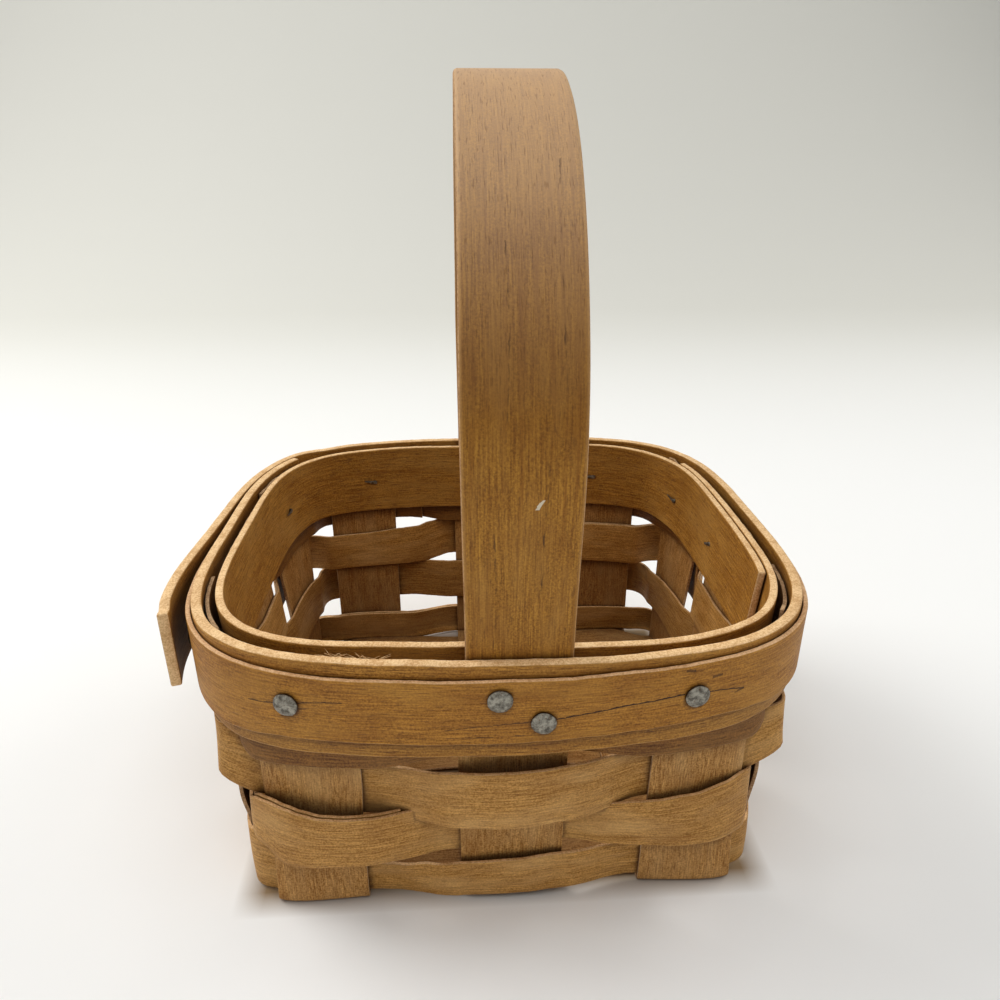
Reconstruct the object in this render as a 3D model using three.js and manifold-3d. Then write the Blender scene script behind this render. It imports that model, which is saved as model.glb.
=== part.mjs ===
// Small square splint basket with a fixed bentwood handle. Millimetres, +Z up, +Y to the back.
// The origin is the centre of the underside, on the plane that the basket stands on.
import * as THREE from "three";
import { mergeVertices } from "three/addons/utils/BufferGeometryUtils.js";
import Module from "manifold-3d";

// Rim, measured over the outside of the outer band
const rimWidth = 140;
const rimDepth = 130.4;
const rimHeight = 71.4;
const rimSquareness = 3.6;

// Bands that clamp the wall, and the thin trim strip over the outer one
const bandHeight = 20.8;
const outerBandThickness = 2.3;
const innerBandThickness = 1.8;
const trimHeight = 14.4;
const trimThickness = 1.1;
const trimDrop = 2;

// Wall and base, measured on the middle of the splints: the wall leans out from a smaller base
const wallLeanX = 10.7;
const wallLeanY = 11.7;
const baseWidth = rimWidth - 2 * wallLeanX;
const baseDepth = rimDepth - 2 * wallLeanY;
const baseSquareness = 9;
const wallSquareness = 3.9;

// Upright splints: three run front to back, three run left to right
const staveThickness = 0.8;
const outerStaveWidth = 22;
const centreStaveWidth = 23;
const staveInsetLeft = 6.1;
const staveInsetRight = 6.6;
const staveInsetY = 7.5;
const centreStaveShift = 0.6;
const staveTopDrop = 1.4;
const bendHeight = 1.8;

// Woven rows: a narrow starter, and three full rows that share the height up into the bands
const weaverThickness = 0.8;
const starterHeight = 10;
const starterBottom = 2;
const starterGap = 3;
const rowGap = 0.9;
const topRowDrop = 11.5;
const weaverFlare = 0.8;
const cornerSlacks = [0.6, 2.2, 3.5, 0.3];

// Handle
const handleWidth = 22;
const handleOffset = 1.4;
const handleLean = 1.2;
const handleThickness = 3;
const handleEndThickness = 2;
const handleHeight = 175;
const handleArchHeight = 76;
const handleEndRise = 1.6;
const handleShoulderHeight = 3.5;
const handleEdge = 0.7;

// Tacks
const tackHeadDiameter = 5.3;
const tackHeadHeight = 0.9;
const tackShankDiameter = 1.5;
const tackTipReach = 0.5;
const upperTackDrop = 6.6;
const lowerTackDrop = 11.6;
const wallTackDrop = 10.9;

// Clearances
const bandGap = 0.25;
const weaveGap = 0.3;
const layerGap = 0.25;
const headGap = 0.15;
const holeClearance = 0.2;
const plateauMargin = 1;

// The loose tail of the outer band: how far its end springs out, and how much lower edge is cut off
const tailSpring = 4.2;
const tailRise = 3.6;

// Laps of the hoops, as degrees round the basket from the right side, by way of the back
const bandStartAngle = 141;
const tailEndAngle = 572;
const tailRiseAngle = 530;
const trimStartAngle = 180;
const trimEndAngle = 486;
const innerStartAngle = 333;
const innerEndAngle = 751;
const weaverLapAngles = [
  { start: 96, span: 50, endOutside: true },
  { start: 198, span: 49, endOutside: false },
  { start: 20, span: 50, endOutside: true },
  { start: 111, span: 16, endOutside: true },
];
const lapBlendAngle = 9;

// Facets
const hoopStepAngle = 4;
const sideSteps = 3;
const cornerSteps = 5;
const legShares = [-1, -0.5, 0, 0.5, 1];
const lowerLegShares = [0.66, 0.33, 0.1];
const bendSteps = 4;
const baseSteps = 20;
const archSteps = 40;
const tackSides = 14;
const holeSides = 8;

const degrees = Math.PI / 180;
const fullTurn = 360;

// The middles of the staves, by the edges of the base
const outerStaveReach = outerStaveWidth / 2;
const staveCentresX = [
  -(baseWidth / 2 - staveInsetLeft - outerStaveReach),
  centreStaveShift,
  baseWidth / 2 - staveInsetRight - outerStaveReach,
];
const outerStaveY = baseDepth / 2 - staveInsetY - outerStaveReach;
const staveCentresY = [-outerStaveY, 0, outerStaveY];

// The full rows share what the starter, the gaps and the top drop leave of the height
const fullRows = 3;
const firstRowBottom = starterBottom + starterHeight + starterGap;
const rowSpace = rimHeight - topRowDrop - firstRowBottom;
const weaverHeight = (rowSpace - (fullRows - 1) * rowGap) / fullRows;
const rowPitch = weaverHeight + rowGap;
const rowBottoms = [starterBottom, firstRowBottom, firstRowBottom + rowPitch, firstRowBottom + 2 * rowPitch];
const topRow = rowBottoms.length - 1;
const wood = { body: 0xa6794a, dark: 0x8f6236, pale: 0xb98c5c };

function smoothStep(value) {
  const t = THREE.MathUtils.clamp(value, 0, 1);
  return t * t * (3 - 2 * t);
}

// A rounded square in plan, as a function of the angle seen from the centre
class PlanRing {
  constructor(halfX, halfY, squareness) {
    this.halfX = halfX;
    this.halfY = halfY;
    this.squareness = squareness;
  }

  level(x, y) {
    const n = this.squareness;
    return (Math.abs(x / this.halfX) ** n + Math.abs(y / this.halfY) ** n) ** (1 / n);
  }

  point(angle) {
    const x = Math.cos(angle);
    const y = Math.sin(angle);
    const reach = 1 / this.level(x, y);
    return new THREE.Vector2(x * reach, y * reach);
  }

  normal(angle) {
    const n = this.squareness - 1;
    const p = this.point(angle);
    const gx = Math.sign(p.x) * Math.abs(p.x / this.halfX) ** n / this.halfX;
    const gy = Math.sign(p.y) * Math.abs(p.y / this.halfY) ** n / this.halfY;
    return new THREE.Vector2(gx, gy).normalize();
  }

  offset(angle, distance) {
    return this.point(angle).addScaledVector(this.normal(angle), distance);
  }
}

// The stave that stands behind the top row sits this far in from the middle of the wall
const wander = (weaverThickness + weaveGap) / 2;
const weaveOffset = (staveThickness + weaverThickness) / 2 + weaveGap;
const wallInset = outerBandThickness + bandGap + staveThickness / 2 + wander;
const handleRoom = handleEndThickness + bandGap;

const rim = new PlanRing(rimWidth / 2, rimDepth / 2, rimSquareness);
const wallTop = new PlanRing(rimWidth / 2 - wallInset, rimDepth / 2 - wallInset - handleRoom, wallSquareness);
const wallBase = new PlanRing(baseWidth / 2, baseDepth / 2, baseSquareness);

function meanWall(angle, z) {
  return wallBase.point(angle).lerp(wallTop.point(angle), z / rimHeight);
}

function wallNormal(angle, z) {
  const step = 0.5 * degrees;
  const tangent = meanWall(angle + step, z).sub(meanWall(angle - step, z)).normalize();
  return new THREE.Vector2(tangent.y, -tangent.x);
}

// The twelve legs in order round the basket. The sign is +1 where the top row passes outside.
const sides = [
  { name: "right", middle: 0, axis: "y", direction: 1, centres: staveCentresY },
  { name: "back", middle: 90, axis: "x", direction: -1, centres: [...staveCentresX].reverse() },
  { name: "left", middle: 180, axis: "y", direction: -1, centres: [...staveCentresY].reverse() },
  { name: "front", middle: 270, axis: "x", direction: 1, centres: staveCentresX },
];
const legs = sides.flatMap((side) => side.centres.map((centre, place) => ({
  side,
  centre,
  width: place === 1 ? centreStaveWidth : outerStaveWidth,
  sign: ((place === 1) === (side.axis === "y")) ? 1 : -1,
})));

// The angle on one side of the basket at which an outline stands at a given x or y, by halving
function angleOn(outline, side, along) {
  const reach = 85;
  const halvings = 40;
  let low = (side.middle - reach) * degrees;
  let high = (side.middle + reach) * degrees;
  for (let turn = 0; turn < halvings; turn += 1) {
    const middle = (low + high) / 2;
    const ahead = (outline(middle)[side.axis] - along) * side.direction > 0;
    if (ahead) high = middle;
    else low = middle;
  }
  return (low + high) / 2;
}

function angleAt(side, along, z) {
  return angleOn((angle) => meanWall(angle, z), side, along);
}

// The stretch of angles that each leg takes up at a height, and its stations in even shares
function legSpans(z) {
  return legs.map((leg) => {
    const half = leg.side.direction * (leg.width / 2 + plateauMargin);
    const angles = legShares.map((share) => angleAt(leg.side, leg.centre + share * half, z));
    return { angles, from: angles[0], to: angles[angles.length - 1], sign: leg.sign, side: leg.side };
  });
}

// How the weave runs: sign +1 or -1 over each leg, and smooth between
function weaveOver(spans) {
  return (angle) => {
    const a = turnedFrom(spans[0].from, angle);
    const index = spans.findLastIndex((span) => span.from <= a);
    const here = spans[index];
    if (a <= here.to) return here.sign;
    const next = spans[(index + 1) % spans.length];
    const part = (a - here.to) / (turnedFrom(here.to, next.from) - here.to);
    return THREE.MathUtils.lerp(here.sign, next.sign, smoothStep(part));
  };
}

// The same angle, brought to within one turn after the start
function turnedFrom(start, angle) {
  const turn = 2 * Math.PI;
  return start + ((((angle - start) % turn) + turn) % turn);
}

// How far a row swells at a corner, from 0 to 1: it leaves the wall at the middle of the leg that
// it passes outside, swells most at that leg's edge, and is back where the next leg covers it
function cornerSwell(spans, rowSign) {
  const corners = spans.flatMap((before, index) => {
    const after = spans[(index + 1) % spans.length];
    if (before.side === after.side) return [];
    const forward = before.sign === rowSign;
    const [outside, inside] = forward ? [before, after] : [after, before];
    const root = outside.angles[(legShares.length - 1) / 2];
    const edge = forward ? outside.to : outside.from;
    const end = forward ? inside.from : inside.to;
    const way = forward ? 1 : -1;
    const length = turnedFrom(0, way * (end - root));
    const peak = turnedFrom(0, way * (edge - root)) / length;
    return [{ root, way, length, power: Math.log(0.5) / Math.log(peak) }];
  });
  return (angle) => Math.max(0, ...corners.map(({ root, way, length, power }) => {
    const part = turnedFrom(0, way * (angle - root)) / length;
    return part < 1 ? Math.sin(Math.PI * part ** power) ** 2 : 0;
  }));
}

// A hoop's stations: shares of every leg, and even steps between the legs
function legAlignedAngles(spans, start, end) {
  const turn = 2 * Math.PI;
  const stations = spans.flatMap((span, index) => {
    const next = spans[(index + 1) % spans.length];
    const nextFrom = turnedFrom(span.to, next.from);
    const steps = span.side === next.side ? sideSteps : cornerSteps;
    const between = Array.from({ length: steps - 1 }, (_, k) => (
      THREE.MathUtils.lerp(span.to, nextFrom, (k + 1) / steps)));
    return [...span.angles, ...between];
  });
  const turns = [0, turn, 2 * turn].flatMap((shift) => stations.map((angle) => angle + shift));
  const spacing = 0.5 * degrees;
  const kept = turns.filter((angle) => angle > start + spacing && angle < end - spacing);
  return [start, ...kept, end];
}

// A point on the middle of the staves' surface, moved out along the wall's normal
function wallPoint(angle, z, sign, outward) {
  const shift = outward - wander * sign * (z / rimHeight);
  const p = meanWall(angle, z).addScaledVector(wallNormal(angle, z), shift);
  return new THREE.Vector3(p.x, p.y, z);
}

// A closed strip of even thickness round a grid of points: stations along it, points across it
function stripGeometry(grid, thickness) {
  const rows = grid.length;
  const columns = grid[0].length;
  const positions = [];
  for (const face of [0.5, -0.5]) {
    for (let i = 0; i < rows; i += 1) {
      for (let j = 0; j < columns; j += 1) {
        const along = grid[Math.min(i + 1, rows - 1)][j].clone().sub(grid[Math.max(i - 1, 0)][j]);
        const across = grid[i][Math.min(j + 1, columns - 1)].clone().sub(grid[i][Math.max(j - 1, 0)]);
        const normal = along.cross(across).normalize();
        positions.push(...grid[i][j].clone().addScaledVector(normal, face * thickness).toArray());
      }
    }
  }
  const at = (face, i, j) => face * rows * columns + i * columns + j;
  const indices = [];
  const quad = (a, b, c, d) => indices.push(a, b, c, a, c, d);
  for (let i = 0; i + 1 < rows; i += 1) {
    for (let j = 0; j + 1 < columns; j += 1) {
      quad(at(0, i, j), at(0, i + 1, j), at(0, i + 1, j + 1), at(0, i, j + 1));
      quad(at(1, i, j), at(1, i, j + 1), at(1, i + 1, j + 1), at(1, i + 1, j));
    }
    quad(at(0, i, 0), at(1, i, 0), at(1, i + 1, 0), at(0, i + 1, 0));
    quad(at(0, i, columns - 1), at(0, i + 1, columns - 1), at(1, i + 1, columns - 1), at(1, i, columns - 1));
  }
  for (let j = 0; j + 1 < columns; j += 1) {
    quad(at(0, 0, j), at(0, 0, j + 1), at(1, 0, j + 1), at(1, 0, j));
    quad(at(0, rows - 1, j), at(1, rows - 1, j), at(1, rows - 1, j + 1), at(0, rows - 1, j + 1));
  }
  const geometry = new THREE.BufferGeometry();
  geometry.setAttribute("position", new THREE.Float32BufferAttribute(positions, 3));
  geometry.setIndex(indices);
  return geometry;
}

// The angles of a hoop's stations, on shared steps so that neighbouring hoops have aligned facets
function hoopAngles(start, end) {
  const angles = [start];
  const first = Math.ceil((start + 0.5) / hoopStepAngle) * hoopStepAngle;
  for (let angle = first; angle < end - 0.5; angle += hoopStepAngle) angles.push(angle);
  angles.push(end);
  return angles;
}

// 1 inside a lap and 0 away from it: the first layer lies from the start to the lap's end, and
// the second layer lies over it one turn later
function lapShare(angle, start, end) {
  const firstLayerEnd = end - fullTurn;
  const secondLayerStart = start + fullTurn;
  const inFirst = 1 - smoothStep((angle - firstLayerEnd - 1) / lapBlendAngle);
  const inSecond = smoothStep((angle - secondLayerStart + 1 + lapBlendAngle) / lapBlendAngle);
  return { inFirst, inSecond };
}

// One woven row, lapped over itself
function weaverGeometry(row) {
  const bottom = rowBottoms[row];
  const height = row === 0 ? starterHeight : weaverHeight;
  const rowSign = row % 2 === 0 ? -1 : 1;
  const spans = legSpans(bottom + height / 2);
  const weave = weaveOver(spans);
  const swell = cornerSwell(spans, rowSign);
  const { start, span, endOutside } = weaverLapAngles[row];
  const end = start + fullTurn + span;
  const layerPitch = weaverThickness + layerGap;
  const grid = legAlignedAngles(spans, start * degrees, end * degrees).map((angle) => {
    const sign = weave(angle);
    const { inFirst, inSecond } = lapShare(angle / degrees, start, end);
    const [outer, inner] = endOutside ? [inSecond, inFirst] : [inFirst, inSecond];
    const outside = (1 + rowSign * sign) / 2;
    const layer = (outer * outside - inner * (1 - outside)) * layerPitch;
    const outward = rowSign * sign * weaveOffset + layer + swell(angle) * cornerSlacks[row];
    const flare = row === topRow ? 0 : weaverFlare * Math.max(0, rowSign * sign);
    return [
      wallPoint(angle, bottom, sign, outward + flare),
      wallPoint(angle, bottom + height, sign, outward),
    ];
  });
  return stripGeometry(grid, weaverThickness);
}

// An upright band round the rim, with its own height and distance from the rim at each angle
function rimBandGeometry({ start, end, thickness, distanceAt, bottomAt, top }) {
  const grid = hoopAngles(start, end).map((angle) => {
    const p = rim.offset(angle * degrees, distanceAt(angle));
    return [new THREE.Vector3(p.x, p.y, bottomAt(angle)), new THREE.Vector3(p.x, p.y, top)];
  });
  return stripGeometry(grid, thickness);
}

// The outer band's second layer leaves the first at the back left corner and springs off it
const tailSeat = layerGap + outerBandThickness;
const bandBottom = rimHeight - bandHeight;

function tailOuterFace(angle) {
  const root = fullTurn + bandStartAngle;
  const part = Math.max(0, angle - root) / (tailEndAngle - root);
  return tailSeat + tailSpring * part ** 2;
}

function outerBandGeometry() {
  return rimBandGeometry({
    start: bandStartAngle,
    end: tailEndAngle,
    thickness: outerBandThickness,
    top: rimHeight,
    distanceAt: (angle) => {
      const { inSecond } = lapShare(angle, bandStartAngle, tailEndAngle);
      return inSecond * tailOuterFace(angle) - outerBandThickness / 2;
    },
    bottomAt: (angle) => {
      const part = (angle - tailRiseAngle) / (tailEndAngle - tailRiseAngle);
      return bandBottom + tailRise * smoothStep(part);
    },
  });
}

function trimGeometry() {
  const top = rimHeight - trimDrop;
  return rimBandGeometry({
    start: trimStartAngle,
    end: trimEndAngle,
    thickness: trimThickness,
    top,
    distanceAt: () => headGap + trimThickness / 2,
    bottomAt: () => top - trimHeight,
  });
}

// The inner band follows the leaning wall, just clear of the top row where that runs inside.
// It is lapped on the right side, with its end inside.
const topRowWander = wander * rowBottoms[topRow] / rimHeight;
const innerBandInset = weaveOffset - topRowWander + weaverThickness / 2 + bandGap;

function innerBandGeometry() {
  const layerPitch = innerBandThickness + layerGap;
  const spans = legSpans(rowBottoms[topRow] + weaverHeight / 2);
  const grid = legAlignedAngles(spans, innerStartAngle * degrees, innerEndAngle * degrees).map((angle) => {
    const { inFirst } = lapShare(angle / degrees, innerStartAngle, innerEndAngle);
    const inward = innerBandInset + innerBandThickness / 2 + inFirst * layerPitch;
    return [bandBottom, rimHeight].map((z) => wallPoint(angle, z, 0, -inward));
  });
  return stripGeometry(grid, innerBandThickness);
}

// Heights of a stave's middle on the base, where it passes under or over the crossing ones
const lowLevel = staveThickness / 2;
const highLevel = lowLevel + staveThickness + weaveGap;

function baseLevel(alongX, place, position, crossCentres) {
  const levels = [1, 0].map((cross) => (((place + cross) % 2 === 0) !== alongX ? lowLevel : highLevel));
  const middle = crossCentres[1];
  const side = position > middle ? crossCentres[2] : crossCentres[0];
  const centreEdge = centreStaveWidth / 2 + plateauMargin;
  const innerEdge = Math.abs(side - middle) - outerStaveWidth / 2 - plateauMargin;
  const share = smoothStep((Math.abs(position - middle) - centreEdge) / (innerEdge - centreEdge));
  return THREE.MathUtils.lerp(levels[0], levels[1], share);
}

// One upright splint: down one wall, under the base and up the opposite wall
function staveGeometry(axis, place) {
  const alongX = axis === "x";
  const [startSide, endSide] = alongX ? [sides[2], sides[0]] : [sides[3], sides[1]];
  const [centres, crossCentres] = alongX ? [staveCentresY, staveCentresX] : [staveCentresX, staveCentresY];
  const centre = centres[place];
  const width = place === 1 ? centreStaveWidth : outerStaveWidth;
  const sign = ((place === 1) === alongX) ? 1 : -1;
  const legTop = rimHeight - staveTopDrop;
  const lowerLeg = lowerLegShares.map((share) => THREE.MathUtils.lerp(bendHeight, bandBottom, share));
  const heights = [legTop, bandBottom, ...lowerLeg, bendHeight];
  const columns = legShares.map((share) => {
    const along = centre + share * width / 2;
    const wall = (side, z) => wallPoint(angleAt(side, along, z), z, sign, 0);
    const fix = (p) => (alongX ? p.setY(along) : p.setX(along));
    const across = alongX ? "x" : "y";
    const points = heights.map((z) => fix(wall(startSide, z)));
    const level = baseLevel(alongX, place, crossCentres[2], crossCentres);
    const bend = (side, direction) => {
      const top = fix(wall(side, bendHeight));
      const corner = fix(wall(side, level)).setZ(level);
      const inner = corner.clone();
      inner[across] -= Math.sign(corner[across]) * bendHeight;
      const curve = new THREE.QuadraticBezierCurve3(top, corner, inner).getPoints(bendSteps).slice(1);
      return direction > 0 ? curve : [...curve.slice(0, -1).reverse(), top];
    };
    const down = bend(startSide, 1);
    const upCorner = fix(wall(endSide, level))[across];
    const from = down[down.length - 1][across];
    const to = upCorner - Math.sign(upCorner) * bendHeight;
    points.push(...down);
    for (let step = 1; step <= baseSteps; step += 1) {
      const position = THREE.MathUtils.lerp(from, to, step / baseSteps);
      const z = baseLevel(alongX, place, position, crossCentres);
      points.push(alongX ? new THREE.Vector3(position, along, z) : new THREE.Vector3(along, position, z));
    }
    points.push(...bend(endSide, -1));
    points.push(...[...heights].reverse().slice(1).map((z) => fix(wall(endSide, z))));
    return points;
  });
  const grid = columns[0].map((_, station) => columns.map((points) => points[station]));
  return stripGeometry(grid, staveThickness);
}

// The bent handle: straight legs under the bands, thicker above them, and an elliptical arch
const handleOuterY = rimDepth / 2 - outerBandThickness - bandGap;

function handleGeometry() {
  const shoulder = rimHeight + bandGap;
  const archBase = handleHeight - handleArchHeight;
  const stations = [
    { y: -handleOuterY, z: bandBottom + handleEndRise, thickness: handleEndThickness, angle: 0 },
    { y: -handleOuterY, z: shoulder, thickness: handleEndThickness, angle: 0 },
    { y: -handleOuterY, z: shoulder + handleShoulderHeight, thickness: handleThickness, angle: 0 },
  ];
  for (let step = 0; step <= archSteps / 2; step += 1) {
    const angle = Math.PI * step / archSteps;
    const y = -handleOuterY * Math.cos(angle);
    const z = archBase + handleArchHeight * Math.sin(angle);
    stations.push({ y, z, thickness: handleThickness, angle });
  }
  const mirrored = stations.slice(0, -1).reverse().map((s) => ({ ...s, y: -s.y, angle: Math.PI - s.angle }));
  const all = [...stations, ...mirrored];
  const half = handleWidth / 2;
  const positions = [];
  for (const { y, z, thickness, angle } of all) {
    const slope = new THREE.Vector2(-Math.cos(angle) * handleArchHeight, Math.sin(angle) * handleOuterY);
    const outward = slope.normalize();
    const section = [
      [-half + handleEdge, 0], [half - handleEdge, 0], [half, handleEdge], [half, thickness - handleEdge],
      [half - handleEdge, thickness], [-half + handleEdge, thickness], [-half, thickness - handleEdge],
      [-half, handleEdge],
    ];
    const centre = handleOffset + handleLean * (z - rimHeight) / (handleHeight - rimHeight);
    for (const [x, depth] of section) {
      positions.push(centre + x, y - outward.x * depth, z - outward.y * depth);
    }
  }
  const count = 8;
  const indices = [];
  for (let i = 0; i + 1 < all.length; i += 1) {
    for (let j = 0; j < count; j += 1) {
      const k = (j + 1) % count;
      const [a, b, c, d] = [i * count + j, i * count + k, (i + 1) * count + k, (i + 1) * count + j];
      indices.push(a, b, c, a, c, d);
    }
  }
  const last = (all.length - 1) * count;
  for (let j = 1; j + 1 < count; j += 1) {
    indices.push(0, j + 1, j);
    indices.push(last, last + j, last + j + 1);
  }
  const geometry = new THREE.BufferGeometry();
  geometry.setAttribute("position", new THREE.Float32BufferAttribute(positions, 3));
  geometry.setIndex(indices);
  return geometry;
}

// Where each tack is driven: the side, the stave or handle that it holds, its place along the side
// from that post's middle, and its drop below the rim
const [leftPost, , rightPost] = staveCentresX;
const [frontPost, middlePost, backPost] = staveCentresY;
const tacks = [
  { name: "tack_front_left", side: "front", post: leftPost, shift: -0.7, drop: upperTackDrop },
  { name: "tack_front_handle_upper", side: "front", post: handleOffset, shift: -3.8, drop: upperTackDrop },
  { name: "tack_front_handle_lower", side: "front", post: handleOffset, shift: 4.5, drop: lowerTackDrop },
  { name: "tack_front_right", side: "front", post: rightPost, shift: -6.3, drop: upperTackDrop },
  { name: "tack_right_middle", side: "right", post: middlePost, shift: 3, drop: wallTackDrop },
  { name: "tack_right_back", side: "right", post: backPost, shift: 0, drop: wallTackDrop },
  { name: "tack_back_right", side: "back", post: rightPost, shift: -4, drop: wallTackDrop },
  { name: "tack_back_handle_upper", side: "back", post: handleOffset, shift: 4, drop: upperTackDrop },
  { name: "tack_back_handle_lower", side: "back", post: handleOffset, shift: -4, drop: lowerTackDrop },
  { name: "tack_back_left", side: "back", post: leftPost, shift: 3.5, drop: wallTackDrop },
  { name: "tack_left_back", side: "left", post: backPost, shift: -0.5, drop: wallTackDrop },
  { name: "tack_left_front", side: "left", post: frontPost, shift: 1, drop: wallTackDrop },
];

// Distance from the rim's outside, along its normal, to the inner band's inner face
function depthToInside(angle, z, inward) {
  const step = 0.05;
  let depth = 0;
  let reach = Infinity;
  let face = 0;
  while (reach > face) {
    depth += step;
    const p = rim.offset(angle, -depth);
    const inner = wallPoint(p.angle(), z, 0, -inward);
    reach = p.length();
    face = Math.hypot(inner.x, inner.y);
  }
  return depth;
}

// A tack's place and direction, and the length of its shank
function tackFit(tack) {
  const side = sides.find((candidate) => candidate.name === tack.side);
  const angle = angleOn((turn) => rim.point(turn), side, tack.post + tack.shift);
  const z = rimHeight - tack.drop;
  const turn = turnedFrom(0, angle) / degrees;
  const onTrim = turn >= trimStartAngle || turn <= trimEndAngle - fullTurn;
  const seat = onTrim ? headGap + trimThickness : tailOuterFace(turn + fullTurn);
  const p = rim.offset(angle, seat + headGap);
  const n = rim.normal(angle);
  const lapped = turn >= innerStartAngle || turn <= innerEndAngle - 2 * fullTurn;
  const layers = lapped ? 2 * innerBandThickness + layerGap : innerBandThickness;
  const inside = depthToInside(angle, z, innerBandInset + layers);
  return {
    position: new THREE.Vector3(p.x, p.y, z),
    direction: new THREE.Vector3(n.x, n.y, 0),
    shank: seat + headGap + inside + tackTipReach,
  };
}

function tackGeometry(shank) {
  const head = tackHeadDiameter / 2;
  const profile = [
    [0, tackHeadHeight], [head * 0.6, tackHeadHeight * 0.86], [head * 0.92, tackHeadHeight * 0.5],
    [head, tackHeadHeight * 0.2], [head * 0.94, 0], [tackShankDiameter / 2, 0],
    [tackShankDiameter / 2, -shank + tackTipReach * 2], [0, -shank],
  ];
  return new THREE.LatheGeometry(profile.map(([x, y]) => new THREE.Vector2(x, y)).reverse(), tackSides);
}

// Solids for joining and cutting
const wasm = await Module();
wasm.setup();

function toSolid(geometry) {
  const bare = geometry.clone();
  bare.deleteAttribute("normal");
  bare.deleteAttribute("uv");
  const merged = mergeVertices(bare, 1e-4);
  return new wasm.Manifold(new wasm.Mesh({
    numProp: 3,
    vertProperties: new Float32Array(merged.attributes.position.array),
    triVerts: new Uint32Array(merged.index.array),
  }));
}

function toGeometry(solid) {
  const mesh = solid.getMesh();
  const geometry = new THREE.BufferGeometry();
  geometry.setAttribute("position", new THREE.BufferAttribute(new Float32Array(mesh.vertProperties), 3));
  geometry.setIndex(new THREE.BufferAttribute(new Uint32Array(mesh.triVerts), 1));
  geometry.computeVertexNormals();
  return geometry;
}

const up = new THREE.Vector3(0, 1, 0);
const fits = tacks.map((tack) => ({ ...tack, ...tackFit(tack) }));
const tackHoles = fits.map(({ position, direction, shank }) => {
  const radius = tackShankDiameter / 2 + holeClearance;
  const length = shank + 2 * tackHeadHeight;
  const cylinder = new THREE.CylinderGeometry(radius, radius, length, holeSides);
  cylinder.applyQuaternion(new THREE.Quaternion().setFromUnitVectors(up, direction));
  const middle = position.clone().addScaledVector(direction, -shank / 2);
  cylinder.translate(middle.x, middle.y, middle.z);
  return toSolid(cylinder);
});

const basket = new THREE.Group();

function addPiece(name, geometry, colour, roughness = 0.62, metalness = 0) {
  const material = new THREE.MeshStandardMaterial({ color: colour, roughness, metalness });
  const mesh = new THREE.Mesh(geometry, material);
  mesh.name = name;
  basket.add(mesh);
  return mesh;
}

function addDrilled(name, geometry, colour) {
  let solid = toSolid(geometry);
  for (const hole of tackHoles) solid = solid.subtract(hole);
  addPiece(name, toGeometry(solid), colour);
}

["left", "centre", "right"].forEach((name, place) => {
  addDrilled(`stave_${name}`, staveGeometry("y", place), wood.body);
});
["front", "middle", "back"].forEach((name, place) => {
  addDrilled(`cross_stave_${name}`, staveGeometry("x", place), wood.dark);
});
rowBottoms.forEach((_, row) => addDrilled(`weaver_row_${row + 1}`, weaverGeometry(row), wood.body));
addDrilled("outer_band", outerBandGeometry(), wood.body);
addDrilled("trim_strip", trimGeometry(), wood.body);
addDrilled("inner_band", innerBandGeometry(), wood.dark);
addDrilled("handle", handleGeometry(), wood.pale);

for (const { name, position, direction, shank } of fits) {
  const tack = addPiece(name, tackGeometry(shank), 0x8d9190, 0.42, 0.9);
  tack.position.copy(position);
  tack.quaternion.setFromUnitVectors(up, direction);
}

export default basket;
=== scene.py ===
import logging
import math
import random
from dataclasses import dataclass, field, replace
from enum import Enum
from typing import Callable

import bpy
import numpy as np
from mathutils import Euler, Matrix, Quaternion, Vector, noise
from mathutils.bvhtree import BVHTree


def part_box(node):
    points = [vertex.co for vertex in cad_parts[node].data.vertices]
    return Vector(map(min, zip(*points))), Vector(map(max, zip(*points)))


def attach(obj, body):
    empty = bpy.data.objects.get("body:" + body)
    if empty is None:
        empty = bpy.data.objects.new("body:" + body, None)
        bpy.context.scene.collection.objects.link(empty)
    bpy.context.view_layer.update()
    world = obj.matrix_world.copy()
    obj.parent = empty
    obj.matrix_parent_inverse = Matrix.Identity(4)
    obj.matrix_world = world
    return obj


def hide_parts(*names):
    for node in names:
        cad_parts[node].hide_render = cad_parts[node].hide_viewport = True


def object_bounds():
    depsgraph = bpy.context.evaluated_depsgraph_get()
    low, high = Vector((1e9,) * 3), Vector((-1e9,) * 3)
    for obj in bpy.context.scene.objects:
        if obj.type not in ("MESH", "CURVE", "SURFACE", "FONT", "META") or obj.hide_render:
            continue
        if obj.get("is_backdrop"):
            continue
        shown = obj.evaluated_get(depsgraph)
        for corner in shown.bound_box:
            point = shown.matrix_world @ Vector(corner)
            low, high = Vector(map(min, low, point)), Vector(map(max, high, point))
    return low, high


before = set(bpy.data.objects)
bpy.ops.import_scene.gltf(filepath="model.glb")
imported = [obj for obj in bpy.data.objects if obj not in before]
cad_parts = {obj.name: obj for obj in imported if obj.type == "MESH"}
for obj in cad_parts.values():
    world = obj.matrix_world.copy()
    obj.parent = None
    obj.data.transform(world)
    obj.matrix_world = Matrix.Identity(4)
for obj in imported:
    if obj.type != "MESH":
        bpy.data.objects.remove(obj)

CAD_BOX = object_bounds()
MM = 0.001
LOG = logging.getLogger("basket")
BODY = "root"
FULL_TURN = 360.0
WOOD_IOR = 1.5

Point = tuple[float, float]
Knots = tuple[Point, ...]
Grid = list[list[Vector]]
ByAngle = Callable[[float], float]
Nodes = bpy.types.NodeTree
Socket = bpy.types.NodeSocket
Material = bpy.types.Material
Piece = bpy.types.Object


def clamp(value: float) -> float:
    """Returns the value, kept between 0 and 1."""
    return max(0.0, min(1.0, value))


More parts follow.
